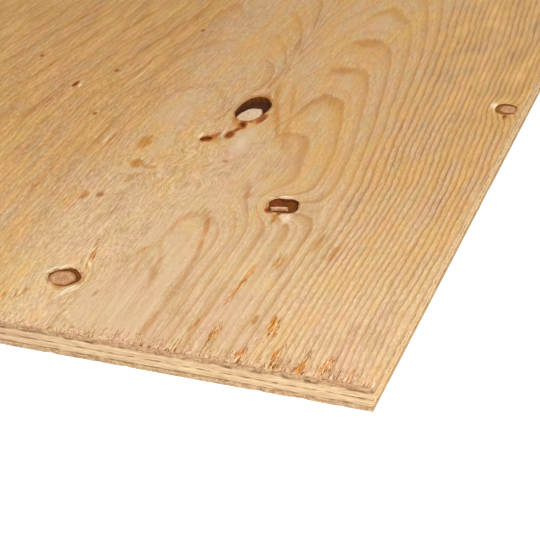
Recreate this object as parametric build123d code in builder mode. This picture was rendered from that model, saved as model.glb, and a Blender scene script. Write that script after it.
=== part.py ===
from build123d import *

import os

# A sheet of unsanded softwood sheathing plywood, lying flat, in millimetres.
# X runs along its 8 ft length and the grain of its face, Y across its 4 ft width and Z up.
# The origin is the middle of its underside. Its near corner is the one at least X and least Y.
sheet_length = 2438.4
sheet_width = 1219.2

# The plies. The two core plies have their grain across the sheet, and together they are one layer.
face_thickness = 3.2
upper_core_thickness = 3.5
lower_core_thickness = 3.3
back_thickness = 2.7

# The large open knot of the face, placed from the near corner. Its hole is an oval through the face ply.
# What is left of the knot still fills the hole's near side, so that the open part is a crescent.
large_knot_from_end = 248.0
large_knot_from_edge = 137.8
large_knot_hole_length = 27.6
large_knot_hole_width = 15.0
large_knot_turn = 12.0
large_knot_wood_length = 24.0
large_knot_wood_width = 17.0
large_knot_wood_setback = 12.6

# The small open knot of the face, nearer the corner
small_knot_from_end = 145.6
small_knot_from_edge = 87.8
small_knot_hole_length = 13.6
small_knot_hole_width = 15.2
small_knot_turn = -8.0
small_knot_wood_length = 10.0
small_knot_wood_width = 18.0
small_knot_wood_setback = 5.6

# The slit where bark has dropped out of the large knot's tail
bark_slit_from_end = 204.0
bark_slit_from_edge = 149.6
bark_slit_length = 9.6
bark_slit_width = 1.7
bark_slit_turn = 118.0

# Each core ply is laid up from clipped strips. Where two strips don't meet quite square, a wedge-shaped
# gap opens at a long edge and closes inside the sheet.
core_strip_width = 640.0
core_gap_mouth = 3.0
core_gap_reach = 420.0

# Heights of the glue lines, and where the near corner is
lower_core_bottom = back_thickness
upper_core_bottom = lower_core_bottom + lower_core_thickness
face_bottom = upper_core_bottom + upper_core_thickness
near_end = -sheet_length / 2
near_edge = -sheet_width / 2

large_knot_place = (near_end + large_knot_from_end, near_edge + large_knot_from_edge)
small_knot_place = (near_end + small_knot_from_end, near_edge + small_knot_from_edge)
bark_slit_place = (near_end + bark_slit_from_end, near_edge + bark_slit_from_edge)


def crescent(place, turn, hole, knot_wood, setback):
    """The open part of a knot: its oval hole, less the knot wood that is set back from the hole's middle."""
    with BuildSketch(Plane.XY.offset(face_bottom)) as outline:
        with Locations(Location((*place, 0), (0, 0, turn))):
            Ellipse(hole[0] / 2, hole[1] / 2)
            with Locations((-setback, 0)):
                Ellipse(knot_wood[0] / 2, knot_wood[1] / 2, mode=Mode.SUBTRACT)
    return outline.sketch


def core_gaps(bottom, edge_side, shift):
    """The wedge-shaped gaps of one core ply, open at the long edge on edge_side, +1 or -1."""
    gap_count = int((sheet_length - 2 * shift) / core_strip_width)
    with BuildSketch(Plane.XY.offset(bottom)) as outline:
        with Locations((shift, edge_side * sheet_width / 2)):
            with GridLocations(core_strip_width, 0, gap_count, 1):
                Polygon(
                    (-core_gap_mouth / 2, 0),
                    (core_gap_mouth / 2, 0),
                    (0, -edge_side * core_gap_reach),
                    align=None,
                )
    return outline.sketch


large_open_knot = crescent(
    large_knot_place,
    large_knot_turn,
    (large_knot_hole_length, large_knot_hole_width),
    (large_knot_wood_length, large_knot_wood_width),
    large_knot_wood_setback,
)
small_open_knot = crescent(
    small_knot_place,
    small_knot_turn,
    (small_knot_hole_length, small_knot_hole_width),
    (small_knot_wood_length, small_knot_wood_width),
    small_knot_wood_setback,
)
lower_core_gaps = core_gaps(lower_core_bottom, -1, core_strip_width / 2)
upper_core_gaps = core_gaps(upper_core_bottom, 1, 0)

# Back ply, grain along the sheet
with BuildPart() as back_veneer:
    with BuildSketch(Plane.XY):
        Rectangle(sheet_length, sheet_width)
    extrude(amount=back_thickness)
back_veneer.part.label = "back_veneer"

# Lower core ply, grain across the sheet
with BuildPart() as lower_core_veneer:
    with BuildSketch(Plane.XY.offset(lower_core_bottom)):
        Rectangle(sheet_length, sheet_width)
    extrude(amount=lower_core_thickness)
    extrude(lower_core_gaps, amount=lower_core_thickness, mode=Mode.SUBTRACT)
lower_core_veneer.part.label = "lower_core_veneer"

# Upper core ply, grain across the sheet, its strips staggered from those below
with BuildPart() as upper_core_veneer:
    with BuildSketch(Plane.XY.offset(upper_core_bottom)):
        Rectangle(sheet_length, sheet_width)
    extrude(amount=upper_core_thickness)
    extrude(upper_core_gaps, amount=upper_core_thickness, mode=Mode.SUBTRACT)
upper_core_veneer.part.label = "upper_core_veneer"

# Face ply, grain along the sheet, with its open knots and the slit
with BuildPart() as face_veneer:
    with BuildSketch(Plane.XY.offset(face_bottom)):
        Rectangle(sheet_length, sheet_width)
    extrude(amount=face_thickness)
    extrude(large_open_knot, amount=face_thickness, mode=Mode.SUBTRACT)
    extrude(small_open_knot, amount=face_thickness, mode=Mode.SUBTRACT)
    with BuildSketch(Plane.XY.offset(face_bottom)):
        with Locations(bark_slit_place):
            SlotOverall(bark_slit_length, bark_slit_width, rotation=bark_slit_turn)
    extrude(amount=face_thickness, mode=Mode.SUBTRACT)
face_veneer.part.label = "face_veneer"

# Write each ply
os.makedirs("parts", exist_ok=True)
for ply in (back_veneer, lower_core_veneer, upper_core_veneer, face_veneer):
    export_step(ply.part, f"parts/{ply.part.label}.step")
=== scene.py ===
"""Dresses a sheet of sheathing plywood: its four plies, the knots of its face, and a plain studio."""

import logging
import math
import random
from collections.abc import Callable
from dataclasses import dataclass
from enum import Enum

import bmesh
import bpy
from mathutils import Matrix, Vector, noise


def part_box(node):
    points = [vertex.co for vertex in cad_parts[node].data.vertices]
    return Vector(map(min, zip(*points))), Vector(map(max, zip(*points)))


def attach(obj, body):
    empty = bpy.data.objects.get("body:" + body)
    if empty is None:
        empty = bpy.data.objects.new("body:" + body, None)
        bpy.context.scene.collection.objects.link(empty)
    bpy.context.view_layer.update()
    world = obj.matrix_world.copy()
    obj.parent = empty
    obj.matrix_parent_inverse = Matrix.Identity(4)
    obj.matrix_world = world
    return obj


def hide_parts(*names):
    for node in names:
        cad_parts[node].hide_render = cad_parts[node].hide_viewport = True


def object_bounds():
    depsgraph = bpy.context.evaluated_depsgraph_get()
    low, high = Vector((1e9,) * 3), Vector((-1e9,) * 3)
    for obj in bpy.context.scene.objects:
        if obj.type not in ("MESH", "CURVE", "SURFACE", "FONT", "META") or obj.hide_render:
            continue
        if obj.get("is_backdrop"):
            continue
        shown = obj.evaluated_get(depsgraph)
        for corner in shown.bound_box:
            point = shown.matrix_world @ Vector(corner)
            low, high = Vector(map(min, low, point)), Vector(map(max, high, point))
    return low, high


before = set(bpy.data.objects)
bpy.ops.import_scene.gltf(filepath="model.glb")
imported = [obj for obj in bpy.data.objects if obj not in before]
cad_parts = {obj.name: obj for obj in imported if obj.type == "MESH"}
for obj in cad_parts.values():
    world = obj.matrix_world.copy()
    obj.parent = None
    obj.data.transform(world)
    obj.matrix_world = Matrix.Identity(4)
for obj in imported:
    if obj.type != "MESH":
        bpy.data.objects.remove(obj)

MM = 0.001
log = logging.getLogger("plywood")

# Heights above the sheet's underside, in millimetres. The face's plain wood lies a little below the
# sheet's own top, so that torn fibres and the rims of knots can stand on it.
FACE_TOP = 12.7
FACE_SINK = 0.25
FACE_HEIGHT = FACE_TOP - FACE_SINK

# How far a torn piece of a knot may stand above the face's plain wood, and how near an edge counts as on it
PROUD = 0.22
ON_EDGE = 1e-3

# Mesh layers: how far out of a knot's middle a vertex is, and where a wall's vertex was sawn
RING_LAYER = "ring"
SAWN_LAYER = "sawn"

FLOAT = "NodeSocketFloat"
VECTOR = "NodeSocketVector"
COLOUR = "NodeSocketColor"
Colour = tuple[float, float, float, float]


class Grain(Enum):
    """Which way a ply's fibres run."""

    ALONG = 0
    ACROSS = 1


@dataclass(frozen=True)
class Oval:
    """An oval on the face, in millimetres from the near corner.

    along and across say where its middle is. turn is how far its length is turned from the grain, in
    degrees.
    """

    along: float
    across: float
    length: float
    width: float
    turn: float = 0.0

    @property
    def long_way(self) -> tuple[float, float, float]:
        """The oval's long direction, divided by half its length."""
        angle = math.radians(self.turn)
        return (math.cos(angle) / self.length * 2, math.sin(angle) / self.length * 2, 0.0)

    @property
    def short_way(self) -> tuple[float, float, float]:
        """The oval's short direction, divided by half its width."""
        angle = math.radians(self.turn)
        return (-math.sin(angle) / self.width * 2, math.cos(angle) / self.width * 2, 0.0)

    def radius(self, board: "Board", oval: bpy.types.NodeTree, place: "Wire") -> "Wire":
        """How far out of the oval a place is: 0 at its middle and 1 at its rim.

        Args:
            board: the board to draw on.
            oval: the group for oval places.
            place: millimetres from the near corner.

        Returns:
            The distance, as a share of the oval's size.
        """
        centre = (self.along, self.across, 0.0)
        out = board.group(oval, Place=place, Centre=centre, Long=self.long_way, Short=self.short_way)
        return out["Radius"]


@dataclass(frozen=True)
class Knot(Oval):
    """One knot of a veneer, or what fills a hole.

    push is how far it bends the rings, in ring counts. corners is how square its outline is: 2 is an oval,
    and more is squarer.
    """

    push: float = 2.1
    corners: float = 2.0


@dataclass(frozen=True)
class Mark(Oval):
    """An oval patch where the wood is stained, pale or torn. strength is how plain it is at its middle."""

    strength: float = 1.0


LARGE_KNOT = Knot(247.2, 138.7, 31.4, 16.8, -3.0, 2.1, 2.2)
SMALL_KNOT = Knot(144.8, 88.0, 15.4, 15.0, 8.0, 1.8, 3.0)
LEFT_KNOT = Knot(45.2, 162.4, 16.6, 15.8, -6.0, 2.4, 1.75)
EDGE_KNOT = Knot(289.8, 8.2, 13.0, 11.2, 0.0, 1.6, 2.8)
BARK_SLIT = Knot(203.8, 150.4, 6.6, 3.6, 130.0, 0.0, 2.4)
SEEN_KNOTS = (LARGE_KNOT, SMALL_KNOT, LEFT_KNOT, EDGE_KNOT)
FAR_KNOTS = (
    Knot(730.0, 152.0, 24.0, 19.0, 5.0),
    Knot(768.0, 431.0, 17.0, 13.0, -10.0),
    Knot(812.0, 26.0, 13.0, 11.0, 0.0),
    Knot(1310.0, 118.0, 20.0, 18.0, 15.0),
    Knot(1342.0, 452.0, 30.0, 22.0, -6.0),
    Knot(1378.0, 300.0, 12.0, 10.0, 0.0),
    Knot(1905.0, 170.0, 26.0, 20.0, -12.0),
    Knot(1938.0, 415.0, 18.0, 15.0, 8.0),
    Knot(2290.0, 86.0, 14.0, 12.0, 0.0),
)

# What shows on the face: pale patches, the pale lips of the knots, stains, long streaks of stain, faint
# arches, crumbs of bark, and tufts of torn fibres with painted shade between them and painted highlights
PALE_MARKS = (
    Mark(204.0, 131.6, 34.0, 11.0, 8.0, 0.9),
    Mark(211.0, 133.4, 16.0, 6.0, 8.0, 0.6),
    Mark(216.0, 129.6, 20.0, 8.0, 10.0, 0.8),
    Mark(28.0, 143.0, 42.0, 15.0, 0.0, 0.35),
    Mark(70.0, 118.0, 76.0, 8.0, 5.0, 0.3),
    Mark(98.0, 126.0, 26.0, 8.0, 8.0, 0.3),
    Mark(182.0, 170.0, 20.0, 9.0, 0.0, 0.3),
    Mark(232.0, 176.0, 58.0, 28.0, 0.0, 0.36),
    Mark(190.0, 170.0, 32.0, 10.0, 0.0, 0.36),
    Mark(28.0, 128.0, 74.0, 40.0, 4.0, 0.3),
    Mark(90.0, 136.0, 44.0, 15.0, 0.0, 0.3),
    Mark(164.0, 105.0, 14.0, 9.0, 0.0, 0.4),
    Mark(145.0, 103.0, 12.0, 10.0, 0.0, 0.4),
    Mark(180.0, 113.8, 28.0, 3.6, 8.0, 0.5),
    Mark(385.0, 105.0, 30.0, 15.0, 0.0, 0.3),
    Mark(296.0, 101.0, 26.0, 11.0, 0.0, 0.3),
    Mark(52.0, 77.0, 66.0, 5.0, 0.0, 0.5),
    Mark(91.0, 86.5, 7.0, 3.2, 0.0, 0.8),
    Mark(18.0, 66.0, 12.0, 3.6, 0.0, 0.6),
)
LIP_MARKS = (
    Mark(204.0, 131.0, 14.0, 5.0, 10.0, 0.35),
    Mark(51.0, 169.4, 17.0, 4.0, -40.0, 0.9),
    Mark(35.0, 155.6, 17.0, 4.0, -24.0, 0.8),
    Mark(133.0, 83.0, 13.0, 6.4, 10.0, 0.8),
    Mark(153.8, 89.4, 4.0, 8.4, 10.0, 0.8),
    Mark(150.6, 96.0, 4.0, 5.0, 0.0, 0.5),
    Mark(292.5, 15.4, 9.0, 4.0, 0.0, 0.8),
    Mark(265.0, 133.0, 7.0, 3.0, 0.0, 0.4),
    Mark(207.0, 154.6, 9.0, 2.4, 0.0, 0.6),
    Mark(214.0, 144.0, 10.0, 2.0, 0.0, 0.4),
    Mark(245.3, 240.4, 6.0, 2.0, 0.0, 0.7),
    Mark(190.0, 200.2, 26.0, 1.4, -2.0, 0.6),
    Mark(268.0, 213.8, 44.0, 1.3, -6.0, 0.4),
    Mark(70.0, 160.4, 28.0, 1.6, 12.0, 0.3),
)
STAIN_MARKS = (
    Mark(190.5, 179.4, 19.0, 8.0, 2.0, 0.9),
    Mark(165.5, 174.5, 12.0, 10.0, 10.0, 0.9),
    Mark(164.0, 167.0, 6.0, 10.0, 0.0, 0.6),
    Mark(150.0, 171.5, 14.0, 7.0, -20.0, 0.5),
    Mark(149.5, 108.5, 9.0, 5.4, 0.0, 0.55),
    Mark(125.0, 186.0, 9.0, 4.6, 0.0, 0.8),
    Mark(112.5, 116.6, 20.0, 3.4, 15.0, 0.6),
    Mark(96.0, 113.2, 18.0, 2.4, 9.0, 0.5),
    Mark(66.0, 124.6, 36.0, 3.0, 6.0, 0.4),
    Mark(271.0, 133.0, 22.0, 4.4, 8.0, 0.75),
    Mark(229.0, 142.6, 16.0, 5.0, 22.0, 0.8),
    Mark(262.6, 140.0, 4.6, 13.0, 12.0, 0.8),
    Mark(232.0, 120.0, 34.0, 3.4, 16.0, 0.6),
    Mark(283.0, 139.6, 26.0, 3.0, 0.0, 0.5),
    Mark(262.0, 121.0, 44.0, 3.0, 14.0, 0.5),
    Mark(222.0, 112.0, 40.0, 4.4, 10.0, 0.45),
    Mark(238.0, 151.0, 30.0, 2.4, -8.0, 0.4),
    Mark(264.5, 136.6, 5.0, 8.0, 0.0, 0.6),
    Mark(224.0, 138.0, 22.0, 4.4, -4.0, 0.6),
    Mark(205.0, 147.4, 12.0, 9.0, 20.0, 0.7),
    Mark(353.0, 104.5, 16.0, 14.0, 0.0, 0.45),
    Mark(312.0, 107.5, 13.0, 15.0, 0.0, 0.45),
    Mark(37.0, 66.0, 10.0, 3.0, 0.0, 0.8),
    Mark(68.0, 82.4, 38.0, 3.0, -2.0, 0.6),
    Mark(90.0, 71.0, 20.0, 3.0, 0.0, 0.7),
    Mark(106.0, 50.0, 20.0, 4.0, 0.0, 0.7),
    Mark(114.0, 60.0, 26.0, 3.0, 0.0, 0.7),
    Mark(131.0, 88.0, 15.0, 3.0, 4.0, 0.9),
    Mark(20.0, 110.0, 26.0, 3.4, 0.0, 0.6),
    Mark(37.0, 161.8, 6.0, 4.4, 10.0, 0.8),
    Mark(279.5, 6.6, 7.0, 3.2, 0.0, 0.9),
)
STREAK_MARKS = (
    Mark(187.0, 106.0, 50.0, 5.0, 3.0, 0.4),
    Mark(250.0, 126.6, 36.0, 4.8, 16.0, 0.85),
    Mark(326.0, 142.0, 42.0, 3.2, 6.0, 0.5),
    Mark(286.0, 139.2, 38.0, 2.6, 0.0, 0.5),
    Mark(357.0, 212.5, 66.0, 3.6, -2.0, 0.8),
    Mark(204.0, 253.0, 66.0, 2.6, -4.0, 0.9),
    Mark(222.0, 249.0, 40.0, 1.6, -5.0, 0.8),
    Mark(340.5, 243.5, 64.0, 3.4, -12.0, 1.0),
    Mark(331.0, 278.4, 60.0, 2.8, -13.5, 0.8),
    Mark(268.0, 216.4, 66.0, 1.9, -6.0, 0.9),
    Mark(183.0, 197.8, 34.0, 1.7, -2.0, 1.0),
    Mark(189.0, 204.6, 30.0, 1.4, -2.0, 0.8),
    Mark(305.0, 262.0, 70.0, 2.0, -9.0, 0.7),
    Mark(262.0, 268.0, 60.0, 1.8, -7.0, 0.7),
    Mark(318.0, 222.0, 50.0, 2.0, -10.0, 0.6),
    Mark(140.0, 214.0, 40.0, 1.8, 0.0, 0.8),
    Mark(110.0, 232.0, 44.0, 1.8, 0.0, 0.7),
    Mark(162.0, 236.0, 46.0, 1.6, -3.0, 0.7),
)
ARCH_MARKS = (
    Mark(236.0, 172.0, 62.0, 34.0, 0.0, 0.45),
    Mark(214.0, 174.0, 60.0, 18.0, 0.0, 0.3),
    Mark(60.0, 122.0, 130.0, 24.0, 2.0, 0.6),
    Mark(36.0, 131.0, 108.0, 15.0, 2.0, 0.5),
    Mark(30.0, 134.0, 92.0, 32.0, 5.0, 0.25),
)
BARK_MARKS = (
    Mark(236.4, 130.4, 11.0, 3.6, -4.0, 0.5),
    Mark(231.0, 135.4, 3.0, 6.4, -14.0, 0.3),
    Mark(226.4, 137.6, 9.0, 3.4, 8.0, 1.0),
    Mark(219.6, 138.3, 7.6, 2.2, -8.0, 0.55),
    Mark(212.6, 139.9, 7.6, 4.4, 0.0, 0.55),
    Mark(204.4, 149.9, 7.0, 5.0, -20.0, 0.6),
    Mark(210.2, 146.6, 6.0, 2.2, -20.0, 0.3),
    Mark(138.6, 93.2, 5.0, 4.0, 0.0, 0.9),
    Mark(136.6, 87.6, 4.0, 1.6, 0.0, 0.5),
    Mark(281.0, 7.0, 5.0, 1.6, 0.0, 0.4),
    Mark(44.0, 153.6, 10.0, 2.0, 0.0, 0.12),
    Mark(246.4, 243.4, 6.6, 2.2, 0.0, 0.8),
    Mark(127.4, 178.6, 4.2, 3.4, 0.0, 0.3),
    Mark(182.0, 132.0, 2.6, 2.2, 0.0, 0.2),
    Mark(276.5, 277.3, 4.0, 2.0, 0.0, 0.4),
    Mark(270.6, 228.4, 3.6, 2.2, 0.0, 0.4),
    Mark(214.1, 218.1, 3.2, 2.0, 0.0, 0.4),
    Mark(340.3, 202.1, 3.6, 2.2, 0.0, 0.4),
)
TUFT_MARKS = (
    Mark(33.4, 56.4, 19.0, 4.6, 8.0, 0.9),
    Mark(20.0, 79.5, 17.0, 3.6, 3.0, 0.8),
    Mark(24.0, 90.2, 14.0, 2.8, 0.0, 0.5),
    Mark(6.0, 62.6, 13.0, 4.2, 4.0, 0.95),
    Mark(8.0, 47.0, 19.0, 4.6, 8.0, 0.95),
    Mark(6.0, 34.2, 17.0, 4.8, 0.0, 0.9),
    Mark(9.0, 24.1, 18.0, 3.8, -2.0, 0.8),
    Mark(64.0, 82.4, 42.0, 2.8, -4.0, 0.6),
    Mark(89.0, 72.8, 14.0, 3.0, 0.0, 0.6),
    Mark(5.0, 92.0, 14.0, 3.0, 0.0, 0.5),
    Mark(5.0, 12.0, 14.0, 3.0, 0.0, 0.5),
    Mark(66.0, 157.6, 34.0, 3.0, 12.0, 0.65),
    Mark(81.6, 137.0, 12.0, 3.0, -10.0, 0.5),
    Mark(26.0, 175.6, 14.0, 4.0, -20.0, 0.55),
    Mark(22.0, 182.0, 18.0, 4.0, 0.0, 0.5),
    Mark(36.0, 143.0, 10.0, 2.4, -12.0, 0.4),
)


@dataclass(frozen=True)
class Sheet:
    """The sheet's own box and near corner, in metres."""

    low: Vector
    high: Vector

    @property
    def corner(self) -> Vector:
        """The near corner at the height of the face."""
        return Vector((self.low.x, self.low.y, self.high.z))

    def at(self, along: float, across: float, height: float = 0.0) -> Vector:
        """A place given in millimetres from the near corner, height above the face.

        Args:
            along: distance from the near end.
            across: distance from the near long edge.
            height: distance above the face.

        Returns:
            The place in the row frame, in metres.
        """
        return self.corner + Vector((along, across, height)) * MM


class Wire:
    """A value inside a node tree that can be added and scaled like a number."""

    def __init__(self, board: "Board", socket: bpy.types.NodeSocket) -> None:
        """Holds the socket that gives the value."""
        self.board = board
        self.socket = socket

    def __add__(self, other: "Wire | float") -> "Wire":
        """The sum of two values."""
        return self.board.maths("ADD", self, other)

    def __radd__(self, other: float) -> "Wire":
        """The sum of two values."""
        return self.board.maths("ADD", other, self)

    def __sub__(self, other: "Wire | float") -> "Wire":
        """The difference of two values."""
        return self.board.maths("SUBTRACT", self, other)

    def __rsub__(self, other: float) -> "Wire":
        """The difference of two values."""
        return self.board.maths("SUBTRACT", other, self)

    def __mul__(self, other: "Wire | float") -> "Wire":
        """The product of two values."""
        return self.board.maths("MULTIPLY", self, other)

    def __rmul__(self, other: float) -> "Wire":
        """The product of two values."""
        return self.board.maths("MULTIPLY", other, self)

    def __truediv__(self, other: "Wire | float") -> "Wire":
        """The quotient of two values."""
        return self.board.maths("DIVIDE", self, other)

    def __abs__(self) -> "Wire":
        """The value without its sign."""
        return self.board.maths("ABSOLUTE", self)


class Board:
    """A node tree with short ways to add the nodes that the finishes use."""

    def __init__(self, tree: bpy.types.NodeTree) -> None:
        """Holds the tree."""
        self.tree = tree

    def feed(self, socket: bpy.types.NodeSocket, value: object) -> None:
        """Joins a wire to a socket, or sets a plain value on it.

        Args:
            socket: the input.
            value: a Wire, a number, or a colour or vector as a tuple.
        """
        if isinstance(value, Wire):
            self.tree.links.new(value.socket, socket)
        else:
            socket.default_value = value

    def add(self, kind: str, **settings: object) -> bpy.types.Node:
        """Adds a node and sets its properties.

        Args:
            kind: the node's type.
            settings: its properties by name.

        Returns:
            The node.
        """
        node = self.tree.nodes.new(kind)
        for name, value in settings.items():
            setattr(node, name, value)
        return node

    def maths(self, operation: str, *values: "Wire | float") -> Wire:
        """Adds one step of arithmetic.

        Args:
            operation: the step.
            values: what it works on.

        Returns:
            Its result.
        """
        node = self.add("ShaderNodeMath", operation=operation)
        for socket, value in zip(node.inputs, values):
            self.feed(socket, value)
        return Wire(self, node.outputs[0])

    def vector(self, operation: str, *values: object) -> Wire:
        """Adds one step of vector arithmetic.

        Args:
            operation: the step.
            values: what it works on.

        Returns:
            Its result, a single value for a length, a distance or a dot product.
        """
        node = self.add("ShaderNodeVectorMath", operation=operation)
        for socket, value in zip(node.inputs, values):
            self.feed(socket, value)
        single = operation in ("LENGTH", "DOT_PRODUCT", "DISTANCE")
        return Wire(self, node.outputs["Value" if single else "Vector"])

    def join(self, x: "Wire | float", y: "Wire | float", z: "Wire | float") -> Wire:
        """Joins three values into a vector.

        Args:
            x: the first value.
            y: the second.
            z: the third.

        Returns:
            The vector.
        """
        node = self.add("ShaderNodeCombineXYZ")
        for socket, value in zip(node.inputs, (x, y, z)):
            self.feed(socket, value)
        return Wire(self, node.outputs[0])

    def split(self, vector: Wire) -> tuple[Wire, Wire, Wire]:
        """Splits a vector.

        Args:
            vector: the vector.

        Returns:
            Its three values.
        """
        node = self.add("ShaderNodeSeparateXYZ")
        self.feed(node.inputs[0], vector)
        return tuple(Wire(self, output) for output in node.outputs)

    def step(self, value: Wire, low: float, high: float, start: float = 0.0, end: float = 1.0) -> Wire:
        """Changes smoothly from start to end, as value goes from low to high.

        Args:
            value: what it follows.
            low: where the change begins.
            high: where it ends.
            start: the result at low and before it.
            end: the result at high and past it.

        Returns:
            The result.
        """
        node = self.add("ShaderNodeMapRange", interpolation_type="SMOOTHSTEP")
        for socket, given in zip(node.inputs, (value, low, high, start, end)):
            self.feed(socket, given)
        return Wire(self, node.outputs[0])

    def noise(self, place: Wire, detail: float = 2.0, rough: float = 0.5) -> Wire:
        """Soft noise about 0, mostly between -1 and 1, with features about one unit of place wide.

        Args:
            place: where to read it.
            detail: how many finer layers it has.
            rough: how strong the finer layers are.

        Returns:
            The noise.
        """
        node = self.add("ShaderNodeTexNoise", noise_dimensions="3D")
        self.feed(node.inputs["Vector"], place)
        self.feed(node.inputs["Scale"], 1.0)
        self.feed(node.inputs["Detail"], detail)
        self.feed(node.inputs["Roughness"], rough)
        return Wire(self, node.outputs[0]) * 4.0 - 2.0

    def stretch(self, place: Wire, x: float, y: float, z: float, shift: float = 0.0) -> Wire:
        """Coordinates for noise whose features are x by y by z long, moved by shift features."""
        scaled = self.vector("MULTIPLY", place, (1 / x, 1 / y, 1 / z))
        return self.vector("ADD", scaled, (shift, shift, shift)) if shift else scaled

    def mix(self, share: "Wire | float", first: object, second: object, blend: str = "MIX") -> Wire:
        """Mixes two colours.

        Args:
            share: how much of the second there is, kept between 0 and 1.
            first: one colour.
            second: the other.
            blend: how they are mixed.

        Returns:
            The colour.
        """
        node = self.add("ShaderNodeMix", data_type="RGBA", blend_type=blend, clamp_factor=True)
        self.feed(node.inputs["Factor"], share)
        self.feed(node.inputs[6], first)
        self.feed(node.inputs[7], second)
        return Wire(self, node.outputs[2])

    def seen(self) -> Wire:
        """Tells what the camera sees from what only lights the scene.

        Returns:
            1 for what the camera sees straight or in a gloss, and otherwise 0.
        """
        path = self.add("ShaderNodeLightPath")
        rays = (Wire(self, path.outputs[name]) for name in ("Is Camera Ray", "Is Glossy Ray"))
        return self.maths("MAXIMUM", *rays)

    def group(self, tree: bpy.types.NodeTree, **inputs: object) -> dict[str, Wire]:
        """Adds a node group and feeds its inputs.

        Args:
            tree: the group's tree.
            inputs: what feeds each input, by name.

        Returns:
            Its outputs by name.
        """
        node = self.add("ShaderNodeGroup", node_tree=tree)
        for name, value in inputs.items():
            self.feed(node.inputs[name], value)
        return {output.name: Wire(self, output) for output in node.outputs}


def new_group(name: str, inputs: dict[str, str], outputs: dict[str, str]) -> tuple[Board, dict[str, Wire]]:
    """Starts a node group.

    Args:
        name: the group's name.
        inputs: each input's name and socket kind.
        outputs: each output's name and socket kind.

    Returns:
        A board on the group's tree, and its inputs as wires.
    """
    tree = bpy.data.node_groups.new(name, "ShaderNodeTree")
    for title, kind in inputs.items():
        tree.interface.new_socket(title, in_out="INPUT", socket_type=kind)
    for title, kind in outputs.items():
        tree.interface.new_socket(title, in_out="OUTPUT", socket_type=kind)
    board = Board(tree)
    entry = board.add("NodeGroupInput")
    return board, {title: Wire(board, entry.outputs[title]) for title in inputs}


def end_group(board: Board, **outputs: Wire) -> bpy.types.NodeTree:
    """Joins a group's outputs.

    Args:
        board: the board on the group's tree.
        outputs: what feeds each output, by name.

    Returns:
        The group's tree.
    """
    leave = board.add("NodeGroupOutput")
    for title, wire in outputs.items():
        board.feed(leave.inputs[title], wire)
    return board.tree


def srgb(red: int, green: int, blue: int) -> Colour:
    """Turns a colour as the eye reads it into the shader's own values.

    Args:
        red: from 0 to 255.
        green: the same.
        blue: the same.

    Returns:
        The colour.
    """
    parts = (value / 255 for value in (red, green, blue))
    linear = (v / 12.92 if v <= 0.04045 else ((v + 0.055) / 1.055) ** 2.4 for v in parts)
    return (*linear, 1.0)


@dataclass(frozen=True)
class Curve:
    """A smooth curve through a few points, as a Float Curve node draws it."""

    points: tuple[tuple[float, float], ...]

    def draw(self, board: Board, value: Wire) -> Wire:
        """Reads the curve at a value. Past its ends it stays level.

        Args:
            board: the board to draw on.
            value: where to read it.

        Returns:
            The curve's height.
        """
        start, end = self.points[0][0], self.points[-1][0]
        low = min(height for _, height in self.points)
        high = max(height for _, height in self.points)
        node = board.add("ShaderNodeFloatCurve")
        node.mapping.extend = "HORIZONTAL"
        line = node.mapping.curves[0]
        for _ in self.points[2:]:
            line.points.new(0.5, 0.5)
        for point, (place, height) in zip(line.points, self.points):
            point.location = ((place - start) / (end - start), (height - low) / (high - low))
            point.handle_type = "AUTO_CLAMPED"
        node.mapping.update()
        board.feed(node.inputs["Value"], (value - start) * (1.0 / (end - start)))
        return Wire(board, node.outputs[0]) * (high - low) + low


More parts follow.
